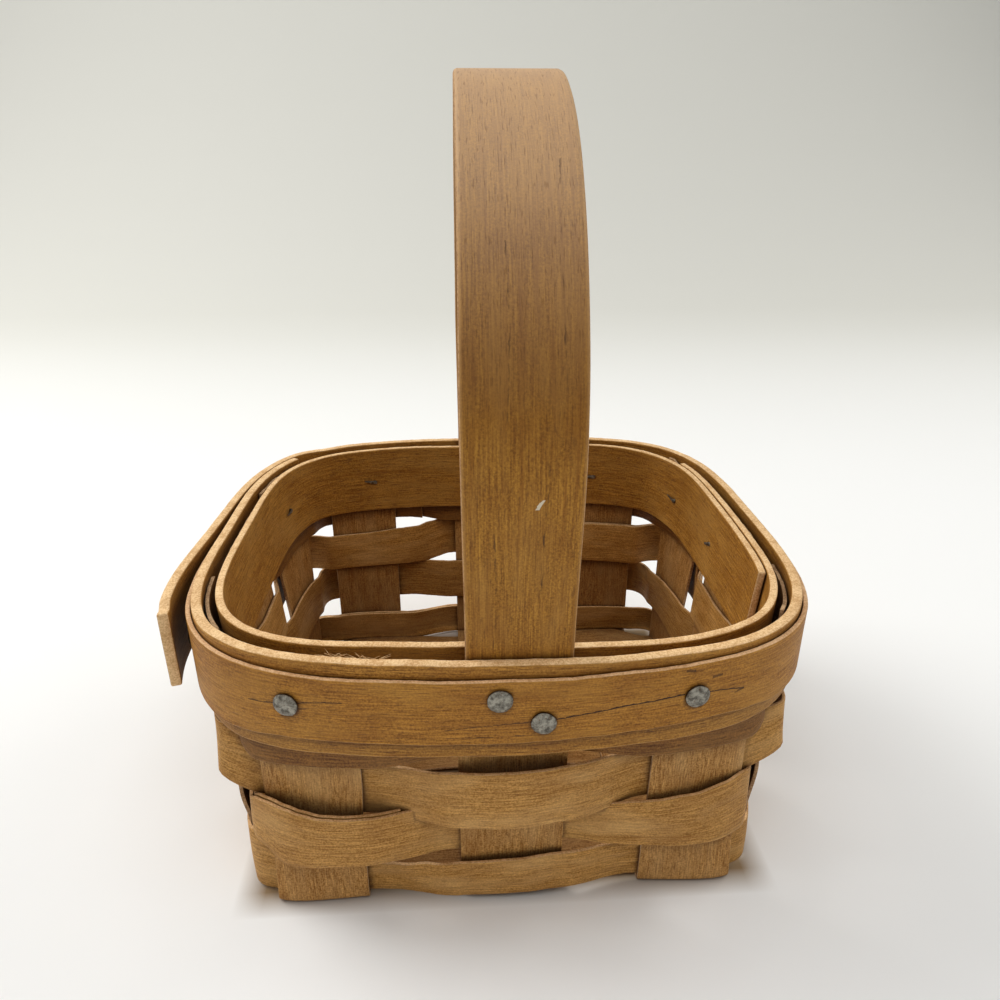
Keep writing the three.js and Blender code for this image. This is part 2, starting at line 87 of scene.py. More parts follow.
def smooth_step(value: float) -> float:
    """Returns a soft ramp from 0 at 0 to 1 at 1."""
    t = clamp(value)
    return t * t * (3 - 2 * t)


def mix(start: float, end: float, share: float) -> float:
    """Returns the value that lies the given share of the way from start to end."""
    return start + (end - start) * share


def turned_from(start: float, angle: float) -> float:
    """Returns the same angle, brought to within one turn after the start."""
    return start + (angle - start) % FULL_TURN


def round_trip(knots: Knots, angle: float) -> float:
    """Reads a value off knots that go once round the basket, with soft turns between them.

    Args:
        knots: Pairs of an angle and a value, in the order of the angles.
        angle: Degrees round the basket.
    Returns:
        The value there.
    """
    a = turned_from(knots[0][0], angle)
    for (start, low), (end, high) in zip(knots, (*knots[1:], (knots[0][0] + FULL_TURN, knots[0][1]))):
        if a <= end:
            return mix(low, high, smooth_step((a - start) / (end - start)))
    return knots[0][1]


def ripple(seed: float, *place: float) -> float:
    """Returns smooth noise from -1 to 1 at up to three coordinates, fixed by the seed."""
    x, y, z = (*place, 0.0, 0.0)[:3]
    return noise.noise(Vector((x + 17.3 * seed, y - 9.1 * seed, z + 4.7 * seed)))


# Plan of the basket


class Side(Enum):
    """One wall: its middle angle, the coordinate that runs along it, and its direction."""

    RIGHT = (0, 1, 1)
    BACK = (90, 0, -1)
    LEFT = (180, 1, -1)
    FRONT = (270, 0, 1)

    @property
    def middle(self) -> float:
        """Returns the angle of the wall's middle, in degrees from the right side by the back."""
        return self.value[0]

    @property
    def axis(self) -> int:
        """Returns 0 where x runs along the wall and 1 where y does."""
        return self.value[1]

    @property
    def direction(self) -> int:
        """Returns 1 where that coordinate grows with the angle, and -1 where it falls."""
        return self.value[2]


@dataclass(frozen=True)
class PlanRing:
    """A rounded square in plan, in mm, as a function of the angle seen from the centre.

    Its right side is pressed in by a small share, the pinch.
    """

    half_x: float
    half_y: float
    squareness: float
    pinch: float = 0.012

    def point(self, angle: float) -> Point:
        """Finds the outline's point at an angle.

        Args:
            angle: Degrees round the basket.
        Returns:
            Its x and y.
        """
        x, y = math.cos(math.radians(angle)), math.sin(math.radians(angle))
        n = self.squareness
        reach = (abs(x / self.half_x) ** n + abs(y / self.half_y) ** n) ** (-1 / n)
        x, y = x * reach, y * reach
        return x * (1 - self.pinch * smooth_step(x / self.half_x)), y

    def offset(self, angle: float, distance: float) -> Point:
        """Moves the outline's point at an angle out along its normal.

        Args:
            angle: Degrees round the basket.
            distance: How far, in mm.
        Returns:
            The point's x and y.
        """
        n = self.squareness - 1
        x, y = self.point(angle)
        gx = math.copysign(abs(x / self.half_x) ** n / self.half_x, x)
        gy = math.copysign(abs(y / self.half_y) ** n / self.half_y, y)
        size = math.hypot(gx, gy)
        return x + distance * gx / size, y + distance * gy / size


@dataclass(frozen=True)
class Leg:
    """The part of a stave that stands in one wall: where, how wide, and how the weave meets it."""

    side: Side
    centre: float
    width: float
    sign: int


@dataclass(frozen=True)
class Span:
    """The angles that a leg takes up at one height."""

    leg: Leg
    start: float
    middle: float
    end: float


@dataclass
class Body:
    """The basket's plan and its clearances, in mm. The walls lean out from base to rim."""

    rim_width: float = 140.0
    rim_depth: float = 130.4
    rim_height: float = 71.4
    rim_squareness: float = 3.6
    wall_lean_x: float = 10.7
    wall_lean_y: float = 11.7
    base_squareness: float = 12.0
    wall_squareness: float = 3.9
    stave_thickness: float = 0.8
    outer_stave_width: float = 22.0
    centre_stave_width: float = 23.0
    stave_inset_left: float = 6.1
    stave_inset_right: float = 6.6
    stave_inset_y: float = 7.5
    centre_shift: float = 0.6
    back_drift: tuple[float, float, float] = (1.4, 0.0, -3.0)
    weaver_thickness: float = 0.8
    outer_band_thickness: float = 2.3
    handle_end_thickness: float = 2.0
    layer_gap: float = 0.25
    weave_gap: float = 0.3
    plateau_margin: float = 1.0
    spans_kept: dict[float, list[Span]] = field(default_factory=dict)

    def __post_init__(self) -> None:
        """Works out the rings, the staves' places and the legs in order round the basket."""
        base_x = self.rim_width / 2 - self.wall_lean_x
        base_y = self.rim_depth / 2 - self.wall_lean_y
        self.wander = (self.weaver_thickness + self.weave_gap) / 2
        self.weave_offset = (self.stave_thickness + self.weaver_thickness) / 2 + self.weave_gap
        inset = self.outer_band_thickness + self.layer_gap + self.stave_thickness / 2 + self.wander
        handle_room = self.handle_end_thickness + self.layer_gap
        top_x, top_y = self.rim_width / 2 - inset, self.rim_depth / 2 - inset - handle_room
        self.rim = PlanRing(self.rim_width / 2, self.rim_depth / 2, self.rim_squareness)
        self.wall_base = PlanRing(base_x, base_y, self.base_squareness)
        self.wall_top = PlanRing(top_x, top_y, self.wall_squareness)
        reach = self.outer_stave_width / 2
        left, right = base_x - self.stave_inset_left - reach, base_x - self.stave_inset_right - reach
        outer_y = base_y - self.stave_inset_y - reach
        self.posts_x = (-left, self.centre_shift, right)
        self.posts_y = (-outer_y, 0.0, outer_y)
        self.legs = [
            Leg(side, centre, self.width_of(place), 1 if (place == 1) == (side.axis == 1) else -1)
            for side in Side for place, centre in enumerate(self.posts_on(side))
        ]

    def width_of(self, place: int) -> float:
        """Returns a stave's width by its place, 0 to 2."""
        return self.centre_stave_width if place == 1 else self.outer_stave_width

    def posts_on(self, side: Side) -> list[float]:
        """Finds the middles of a wall's three legs. The staves are a little askew at the back.

        Args:
            side: The wall.
        Returns:
            Their x or y, in the order of growing angle.
        """
        posts = list(self.posts_y if side.axis else self.posts_x)
        if side is Side.BACK:
            posts = [post + drift for post, drift in zip(posts, self.back_drift)]
        return posts if side.direction > 0 else posts[::-1]

    def mean_wall(self, angle: float, z: float) -> Point:
        """Finds the middle of the wall.

        Args:
            angle: Degrees round the basket.
            z: Height in mm.
        Returns:
            Its x and y.
        """
        low, high = self.wall_base.point(angle), self.wall_top.point(angle)
        share = z / self.rim_height
        return mix(low[0], high[0], share), mix(low[1], high[1], share)

    def wall_point(self, angle: float, z: float, sign: float, outward: float) -> Vector:
        """Finds a point off the staves' surface, moved out along the wall's normal.

        Args:
            angle: Degrees round the basket.
            z: Height in mm.
            sign: Which way the staves wander there, from -1 to 1.
            outward: Distance out from the surface in mm.
        Returns:
            The point in mm.
        """
        step = 0.5
        x, y = self.mean_wall(angle, z)
        ahead, behind = self.mean_wall(angle + step, z), self.mean_wall(angle - step, z)
        tx, ty = ahead[0] - behind[0], ahead[1] - behind[1]
        size = math.hypot(tx, ty)
        shift = outward - self.wander * sign * z / self.rim_height
        return Vector((x + shift * ty / size, y - shift * tx / size, z))

    def angle_at(self, side: Side, along: float, z: float) -> float:
        """Returns the angle at which one wall stands at a given x or y, at a height."""
        return self.angle_on(lambda angle: self.mean_wall(angle, z), side, along)

    def angle_on(self, outline: Callable[[float], Point], side: Side, along: float) -> float:
        """Finds by halving the angle at which an outline stands at a given x or y on one side.

        Args:
            outline: The outline's point, by the angle.
            side: The wall.
            along: The x or y, whichever runs along that wall.
        Returns:
            The angle in degrees.
        """
        low, high = side.middle - 85.0, side.middle + 85.0
        for _ in range(26):
            middle = (low + high) / 2
            if (outline(middle)[side.axis] - along) * side.direction > 0:
                high = middle
            else:
                low = middle
        return (low + high) / 2

    def spans(self, z: float) -> list[Span]:
        """Finds the angles that each leg takes up at a height, and keeps them for the next call.

        Args:
            z: Height in mm.
        Returns:
            A span for each leg, in their order round the basket.
        """
        if z not in self.spans_kept:
            found = []
            for leg in self.legs:
                half = leg.side.direction * (leg.width / 2 + self.plateau_margin)
                angles = [self.angle_at(leg.side, leg.centre + share * half, z) for share in (-1, 0, 1)]
                found.append(Span(leg, *angles))
            self.spans_kept[z] = found
        return self.spans_kept[z]

    def weave(self, z: float, angle: float) -> float:
        """Finds how the weave runs.

        Args:
            z: Height in mm.
            angle: Degrees round the basket.
        Returns:
            +1 or -1 over each leg, and a smooth change between two.
        """
        spans = self.spans(z)
        a = turned_from(spans[0].start, angle)
        index = max(i for i, span in enumerate(spans) if span.start <= a)
        here, after = spans[index], spans[(index + 1) % len(spans)]
        if a <= here.end:
            return here.leg.sign
        part = (a - here.end) / (turned_from(here.end, after.start) - here.end)
        return mix(here.leg.sign, after.leg.sign, smooth_step(part))

    def corner_push(self, z: float, row_sign: int, angle: float, slacks: tuple[float, ...]) -> float:
        """Finds how far a row stands out at a corner.

        It leaves the wall at the middle of the leg that it passes outside, stands out most at
        that leg's edge, and is back where the next leg covers it.

        Args:
            z: Height in mm.
            row_sign: Which way the row is woven, 1 or -1.
            angle: Degrees round the basket.
            slacks: How far it stands out at each corner, in mm.
        Returns:
            The distance in mm.
        """
        spans = self.spans(z)
        push = 0.0
        for index, before in enumerate(spans):
            after = spans[(index + 1) % len(spans)]
            if before.leg.side == after.leg.side:
                continue
            forward = before.leg.sign == row_sign
            outside, inside = (before, after) if forward else (after, before)
            edge, end = (outside.end, inside.start) if forward else (outside.start, inside.end)
            way = 1 if forward else -1
            length = turned_from(0, way * (end - outside.middle))
            peak = turned_from(0, way * (edge - outside.middle)) / length
            part = turned_from(0, way * (angle - outside.middle)) / length
            if part < 1:
                swell = math.sin(math.pi * part ** (math.log(0.5) / math.log(peak))) ** 2
                push = max(push, swell * slacks[index // 3], key=abs)
        return push


BASKET = Body()


# Finishes


def linear(code: str) -> tuple[float, float, float, float]:
    """Returns an sRGB hex colour as linear red, green, blue and alpha."""
    parts = [int(code[i:i + 2], 16) / 255 for i in (1, 3, 5)]
    return (*[p / 12.92 if p <= 0.04045 else ((p + 0.055) / 1.055) ** 2.4 for p in parts], 1.0)


def feed(node: bpy.types.Node, inputs: dict) -> None:
    """Links or sets a node's inputs.

    Args:
        node: The node.
        inputs: Input name or index, to a socket that feeds it or a fixed value.
    """
    for name, source in inputs.items():
        if isinstance(source, Socket):
            node.id_data.links.new(source, node.inputs[name])
        else:
            node.inputs[name].default_value = source


def add_node(tree: Nodes, kind: str, inputs: dict | None = None, output: int | str = 0,
             **settings) -> Socket:
    """Adds a node with its settings and links.

    Args:
        tree: The material's or the world's nodes.
        kind: The node's type name, after ShaderNode.
        inputs: Input name or index, to a socket that feeds it or a fixed value.
        output: The output's name or index.
        **settings: The node's own properties.
    Returns:
        That output.
    """
    node = tree.nodes.new(f"ShaderNode{kind}")
    for key, value in settings.items():
        setattr(node, key, value)
    feed(node, inputs or {})
    return node.outputs[output]


def new_material(name: str) -> tuple[Material, Nodes, bpy.types.Node, Socket]:
    """Makes a material.

    Args:
        name: Its name.
    Returns:
        The material, its nodes, its shader and the piece's own coordinates.
    """
    material = bpy.data.materials.new(name)
    material.use_nodes = True
    tree = material.node_tree
    return material, tree, tree.nodes["Principled BSDF"], add_node(tree, "TexCoord", output="Object")


@dataclass(frozen=True)
class Coat:
    """A tint laid over a finish by a share, which grows to top as a value goes from low to high."""

    value: Socket
    tint: str
    low: float = 0.0
    high: float = 1.0
    top: float = 1.0


def lay_coats(tree: Nodes, ground: str, coats: list[Coat]) -> Socket:
    """Lays coats one over another on a plain colour.

    Args:
        tree: The material's nodes.
        ground: The colour under them all.
        coats: The coats, from the lowest up.
    Returns:
        The colour with them.
    """
    colour = linear(ground)
    for coat in coats:
        share = add_node(tree, "MapRange", {
            "Value": coat.value, "From Min": coat.low, "From Max": coat.high, "To Max": coat.top})
        colour = add_node(tree, "Mix", {0: share, 6: colour, 7: linear(coat.tint)}, 2, data_type="RGBA")
    return colour


@dataclass(frozen=True)
class Crack:
    """A hairline along a strip, through points (along, across) in mm; a row of pores if dashed.

    Its wobbles and its breaks are counted per metre of the strip.
    """

    points: Knots
    width: float = 0.16
    dashed: bool = False
    strength: float = 0.9
    tint: str = "#2E1506"
    sway: float = 0.5
    wobbles: float = 700.0
    breaks: float = 240.0
    widest_strip: float = 24.0

    def coat(self, tree: Nodes, strip: Socket) -> Coat:
        """Draws the hairline.

        Args:
            tree: The material's nodes.
            strip: The strip's own coordinates in metres, along and across.
        Returns:
            Its coat.
        """
        start, end = self.points[0][0] * MM, self.points[-1][0] * MM
        reach = self.widest_strip / 2
        along_strip, across_strip = [add_node(tree, "SeparateXYZ", {0: strip}, axis) for axis in (0, 1)]
        wobble = add_node(tree, "TexNoise", {"Vector": strip, "Scale": self.wobbles, "Detail": 3.0})
        along = add_node(tree, "MapRange", {"Value": along_strip, "From Min": start, "From Max": end})
        line = add_node(tree, "FloatCurve", {"Value": along})
        mapping = line.node.mapping
        points = mapping.curves[0].points
        spots = [((u * MM - start) / (end - start), (v + reach) / (2 * reach)) for u, v in self.points]
        points[0].location, points[-1].location = spots[0], spots[-1]
        for spot in spots[1:-1]:
            points.new(*spot)
        mapping.update()
        level = add_node(tree, "MapRange", {
            "Value": line, "To Min": (-reach - self.sway / 2) * MM, "To Max": (reach - self.sway / 2) * MM})
        middle = add_node(tree, "Math", {0: wobble, 1: self.sway * MM, 2: level}, operation="MULTIPLY_ADD")
        off = add_node(tree, "Math", {0: across_strip, 1: middle}, operation="SUBTRACT")
        away = add_node(tree, "Math", {0: off}, operation="ABSOLUTE")
        half = add_node(tree, "Math", {0: wobble, 1: 2 * self.width * MM}, operation="MULTIPLY")
        near = add_node(tree, "Math", {0: away, 1: half}, operation="LESS_THAN")
        inside = add_node(tree, "Math", {0: along, 1: 0.5, 2: 0.495}, operation="COMPARE")
        share = add_node(tree, "Math", {0: near, 1: inside}, operation="MULTIPLY")
        if self.dashed:
            chain = add_node(tree, "TexNoise", {"Vector": strip, "Scale": self.breaks, "Detail": 2.0})
            dash = add_node(tree, "MapRange", {"Value": chain, "From Min": 0.46, "From Max": 0.62})
            share = add_node(tree, "Math", {0: share, 1: dash}, operation="MULTIPLY")
        return Coat(share, self.tint, top=self.strength)


@dataclass(frozen=True)
class SplitWood:
    """Split hardwood, aged and unvarnished. Sizes in mm.

    The eye gets short fine fibres along the strip, darker and paler streaks, scattered pores,
    cloudy patches where hands and light have changed it, and paler borders along the cut edges,
    partly rubbed wear and partly a painted highlight. Brown painted shade darkens the crevices,
    the wood under overhanging edges and the wood deep inside the basket.
    """

    name: str
    dark: str = "#80500F"
    light: str = "#CB9440"
    streak: str = "#86510E"
    pale: str = "#CC9C58"
    # Paler border along cut edges: partly rubbed wear, partly a painted highlight.
    border_wear_and_highlight: str = "#D2A668"
    # Colour of the painted shade in crevices, under edges and deep inside the basket.
    painted_shade_tint: str = "#381703"
    pore: str = "#5A3208"
    # Greyer, paler top of the handle: partly wear, partly painted light on its up-facing top.
    greyed: str = "#C6A888"
    gripped: str = "#663C06"
    fibre_width: float = 0.36
    fibre_length: float = 6.0
    streak_width: float = 1.5
    streak_length: float = 38.0
    pore_width: float = 0.24
    pore_length: float = 2.2
    patch: float = 13.0
    fleck: float = 0.42
    roughness: float = 0.6
    streak_share: float = 0.5
    pale_share: float = 0.5
    patch_share: float = 0.35
    pore_share: float = 0.55
    border_share: float = 0.32
    painted_shade_share: float = 0.78
    relief: float = 0.16
    sheen_level: float = 0.3

    def material(self, seed: int, cracks: tuple[Crack, ...] = (), worn_and_lit_above: float = 0.0) -> Material:
        """Makes the finish for one strip.

        Args:
            seed: Moves the grain along, so that no two strips match.
            cracks: Hairlines and rows of pores.
            worn_and_lit_above: Height in mm above which the wood greys and pales, partly wear and partly
                painted light on the up-facing top, or 0 for nowhere.
        Returns:
            The material.
        """
        material, tree, shader, place = new_material(f"{self.name}_{seed}")
        strip = add_node(tree, "UVMap", uv_map="UVMap")

        def grain(length: float, width: float, detail: float, shift: float) -> Socket:
            """Adds noise drawn out along the strip.

            Args:
                length, width: Size of its waves in mm.
                detail: How many finer layers it has.
                shift: Where it starts, in waves.
            Returns:
                The noise, from 0 to 1.
            """
            stretch = add_node(tree, "Mapping", {
                "Vector": strip, "Location": (shift + seed * 13.7, shift * 3.1 + seed * 7.3, 0.0),
                "Scale": (1 / (length * MM), 1 / (width * MM), 1.0)})
            return add_node(tree, "TexNoise", {
                "Vector": stretch, "Scale": 1.0, "Detail": detail, "Roughness": 0.62, "Distortion": 0.2})

        fibres = grain(self.fibre_length, self.fibre_width, 3.0, 0.0)
        streaks = grain(self.streak_length, self.streak_width, 3.0, 57.0)
        pores = grain(self.pore_length, self.pore_width, 0.0, 31.0)
        clouds = grain(self.patch * 2.2, self.patch * 0.7, 2.0, 83.0)
        patches = add_node(tree, "TexNoise", {
            "Vector": place, "Scale": 1 / (self.patch * MM), "Detail": 3.0})
        flecks = add_node(tree, "TexNoise", {
            "Vector": place, "Scale": 1 / (self.fleck * MM), "Detail": 2.0, "Roughness": 0.6})
        border, painted_shade = [add_node(tree, "Attribute", output="Fac", attribute_name=name)
                           for name in ("border", "painted_shade")]
        soft = add_node(tree, "MapRange", {"Value": fibres, "To Max": 0.7})
        mottle = add_node(tree, "Math", {0: flecks, 1: 0.6, 2: soft}, operation="MULTIPLY_ADD")
        dashes = add_node(tree, "MapRange", {
            "Value": pores, "From Min": 0.66, "From Max": 0.74, "To Max": self.pore_share})
        colour = lay_coats(tree, self.dark, [
            Coat(mottle, self.light, 0.5, 0.8),
            Coat(streaks, self.streak, 0.5, 0.7, self.streak_share),
            Coat(clouds, self.pale, 0.45, 0.7, self.pale_share),
            Coat(patches, self.streak, 0.5, 0.72, self.patch_share),
            # Handle only: a greyer, paler top, partly wear and partly painted light, and a darker gripped
            # part.
            *(self.wear_and_top_light(tree, place, worn_and_lit_above) if worn_and_lit_above else ()),
            Coat(dashes, self.pore),
            # Paler border along cut edges: partly rubbed wear, partly a painted highlight.
            Coat(border, self.border_wear_and_highlight, top=self.border_share),
            # Painted shade in crevices, under edges and deep inside the basket.
            Coat(painted_shade, self.painted_shade_tint, 0.12, 0.9, self.painted_shade_share),
            *(crack.coat(tree, strip) for crack in cracks),
        ])
        height = add_node(tree, "Math", {0: fibres, 1: dashes}, operation="SUBTRACT")
        feed(shader, {
            "Base Color": colour, "IOR": WOOD_IOR, "Specular IOR Level": self.sheen_level,
            "Roughness": add_node(tree, "MapRange", {
                "Value": fibres, "To Min": self.roughness + 0.1, "To Max": self.roughness - 0.1}),
            "Normal": add_node(tree, "Bump", {
                "Height": height, "Strength": 0.6, "Distance": self.relief * MM})})
        return material

    def wear_and_top_light(self, tree: Nodes, place: Socket, worn_and_lit_above: float) -> list[Coat]:
        """Greys and pales the wood towards the top, partly wear and partly painted light on the up-facing
        top, with a darker gripped part where that begins.

        Args:
            tree: The material's nodes.
            place: The piece's own coordinates.
            worn_and_lit_above: Height in mm above which the wood has greyed.
        Returns:
            The two coats.
        """
        height = add_node(tree, "SeparateXYZ", {0: place}, 2)
        begins, ends = [add_node(tree, "MapRange", {
            "Value": height, "From Min": (worn_and_lit_above + none) * MM, "From Max": (worn_and_lit_above + full) * MM})
            for none, full in ((-14, 4), (36, 10))]
        gripped = add_node(tree, "Math", {0: begins, 1: ends}, operation="MULTIPLY")
        return [Coat(height, self.greyed, worn_and_lit_above * MM, (worn_and_lit_above + 60) * MM, 0.7),
                Coat(gripped, self.gripped, top=0.45)]


@dataclass(frozen=True)
class SawnEdge:
    """The cut edge of a splint: paler and rougher than its face, with short broken fibres.

    Sizes in mm.
    """

    name: str
    dark: str = "#B08048"
    light: str = "#E2BA80"
    # Colour of the painted shade in the edge's crevices.
    painted_shade_tint: str = "#5A3A1C"
    fibre: float = 0.45
    patch: float = 4.0
    roughness: float = 0.8
    relief: float = 0.25

    def material(self, seed: int) -> Material:
        """Makes the finish for the edges of one strip.

        Args:
            seed: The strip's number.
        Returns:
            The material.
        """
        material, tree, shader, place = new_material(f"{self.name}_{seed}")
        fibres = add_node(tree, "TexNoise", {
            "Vector": place, "Scale": 1 / (self.fibre * MM), "Detail": 3.0, "Roughness": 0.7})
        patches = add_node(tree, "TexNoise", {
            "Vector": place, "Scale": 1 / (self.patch * MM), "Detail": 3.0})
        both = add_node(tree, "Math", {0: patches, 1: 0.5, 2: fibres}, operation="MULTIPLY_ADD")
        painted_shade = add_node(tree, "Attribute", output="Fac", attribute_name="painted_shade")
        # The second coat is painted shade in crevices, from the painted shade value.
        colour = lay_coats(tree, self.dark, [
            Coat(both, self.light, 0.6, 0.88), Coat(painted_shade, self.painted_shade_tint, 0.5, 1.0, 0.7)])
        feed(shader, {
            "Base Color": colour, "Roughness": self.roughness, "IOR": WOOD_IOR,
            "Normal": add_node(tree, "Bump", {
                "Height": fibres, "Strength": 0.7, "Distance": self.relief * MM})})
        return material


@dataclass(frozen=True)
class TackSteel:
    """Plain steel, hammered and dulled: bright on the high spots, brown-grey in the dents.

    Sizes in mm.
    """

    name: str = "tack_steel"
    bright: str = "#9C988C"
    dull: str = "#57524A"
    rust: str = "#5B3A22"
    # Colour of the painted shade in the hollows round the head.
    painted_shade_tint: str = "#2B1D12"
    dent: float = 1.1
    rust_speck: float = 0.5
    metallic: float = 0.85
    roughness: float = 0.45
    relief: float = 0.3

    def material(self) -> Material:
        """Makes the finish for all tacks.

        Returns:
            The material.
        """
        material, tree, shader, place = new_material(self.name)
        dents = add_node(tree, "TexNoise", {
            "Vector": place, "Scale": 1 / (self.dent * MM), "Detail": 3.0, "Roughness": 0.65})
        specks = add_node(tree, "TexNoise", {
            "Vector": place, "Scale": 1 / (self.rust_speck * MM), "Detail": 2.0})
        painted_shade = add_node(tree, "Attribute", output="Fac", attribute_name="painted_shade")
        # The last coat is painted shade in the hollows round the head.
        colour = lay_coats(tree, self.dull, [
            Coat(dents, self.bright, 0.38, 0.62), Coat(specks, self.rust, 0.6, 0.72, 0.6),
            Coat(painted_shade, self.painted_shade_tint, 0.25, 0.7)])
        feed(shader, {
            "Base Color": colour, "Metallic": self.metallic, "Roughness": self.roughness,
            "Normal": add_node(tree, "Bump", {
                "Height": dents, "Strength": 0.5, "Distance": self.relief * MM})})
        return material


# Strips


def pick(piece: Piece, *others: Piece) -> None:
    """Makes one piece active, and selects it with the others and nothing else.

    Args:
        piece: The active piece.
        *others: Pieces to select with it.
    """
    bpy.ops.object.select_all(action="DESELECT")
    for each in (piece, *others):
        each.select_set(True)
    bpy.context.view_layer.objects.active = piece


def smooth(piece: Piece, degrees: float) -> None:
    """Shades a piece smooth, but for edges sharper than an angle."""
    pick(piece)
    bpy.ops.object.shade_smooth_by_angle(angle=math.radians(degrees))


def apply_modifier(piece: Piece, kind: str, **settings) -> None:
    """Adds a modifier to a piece and applies it.

    Args:
        piece: The piece.
        kind: The modifier's type.
        **settings: The modifier's own properties.
    """
    pick(piece)
    modifier = piece.modifiers.new(kind.title(), kind)
    for key, value in settings.items():
        setattr(modifier, key, value)
    bpy.ops.object.modifier_apply(modifier=modifier.name)


def round_edges(piece: Piece, radius: float, degrees: float) -> None:
    """Rounds a piece's edges that are sharper than an angle, with a radius in mm."""
    apply_modifier(piece, "BEVEL", width=radius * MM, segments=2, limit_method="ANGLE",
                   angle_limit=math.radians(degrees))


def lay_out(start: float, end: float, step: float, columns: int,
            point: Callable[[float, float], Vector]) -> Grid:
    """Lays out a strip's points, along it by the angle and across it.

    Args:
        start, end: The strip's ends, in degrees.
        step: About how far apart its stations are, in degrees.
        columns: How many points go across it.
        point: Gives a point in mm from the angle and the share of the way across.
    Returns:
        The points, station by station.
    """
    stations = round((end - start) / step)
    return [[point(mix(start, end, i / stations), j / (columns - 1)) for j in range(columns)]
            for i in range(stations + 1)]


def edge_wear(size: float, seed: float, along: float, share: float, spread: float) -> float:
    """Returns how far a strip's cut edge strays from its line there, and 0 between the edges."""
    return size * ripple(seed, along, share * spread) if share in (0.0, 1.0) else 0.0


def bend_strip(name: str, grid: Grid, thickness: float, rounding: float, offset: float = 0.0,
               thin: Callable[[int], float] | None = None) -> Piece:
    """Lays a flat grid along a path as one splint, gives it its thickness and rounds its edges.

    Args:
        name: The piece's name.
        grid: Points in mm, stations along the strip and columns across it.
        thickness: In mm.
        rounding: Radius of the edges in mm.
        offset: -1 where the points are the outer face, 0 where they are the middle.
        thin: The share of the thickness at each station, where it isn't even.
    Returns:
        The new piece, with its UV map in metres along and across.
    """
    rows, columns = len(grid) - 1, len(grid[0]) - 1
    bpy.ops.object.select_all(action="DESELECT")
    bpy.ops.mesh.primitive_grid_add(x_subdivisions=rows, y_subdivisions=columns, size=2)
    strip = bpy.context.object
    strip.name = name
    mesh = strip.data
    mesh.name = name
    mesh.materials.append(None)
    mesh.materials.append(None)
    places = [(round((v.co.x + 1) / 2 * rows), round((v.co.y + 1) / 2 * columns)) for v in mesh.vertices]
    middle = [station[(columns + 1) // 2] for station in grid]
    along = np.cumsum([0.0] + [(after - before).length for before, after in zip(middle, middle[1:])])
    across = np.cumsum([0.0] + [(after - before).length for before, after in zip(grid[0], grid[0][1:])])
    for vertex, (i, j) in zip(mesh.vertices, places):
        vertex.co = grid[i][j] * MM
    layer = mesh.uv_layers.active.data
    for loop in mesh.loops:
        i, j = places[loop.vertex_index]
        layer[loop.index].uv = (along[i] * MM, (across[j] - across[-1] / 2) * MM)
    extra = {}
    if thin:
        extra["vertex_group"] = "thickness"
        group = strip.vertex_groups.new(name="thickness")
        for vertex, (i, _) in zip(mesh.vertices, places):
            group.add([vertex.index], thin(i), "REPLACE")
    apply_modifier(strip, "SOLIDIFY", thickness=thickness * MM, offset=offset, use_even_offset=True,
                   use_quality_normals=True, material_offset_rim=1, **extra)
    round_edges(strip, rounding, 55)
    smooth(strip, 50)
    return strip


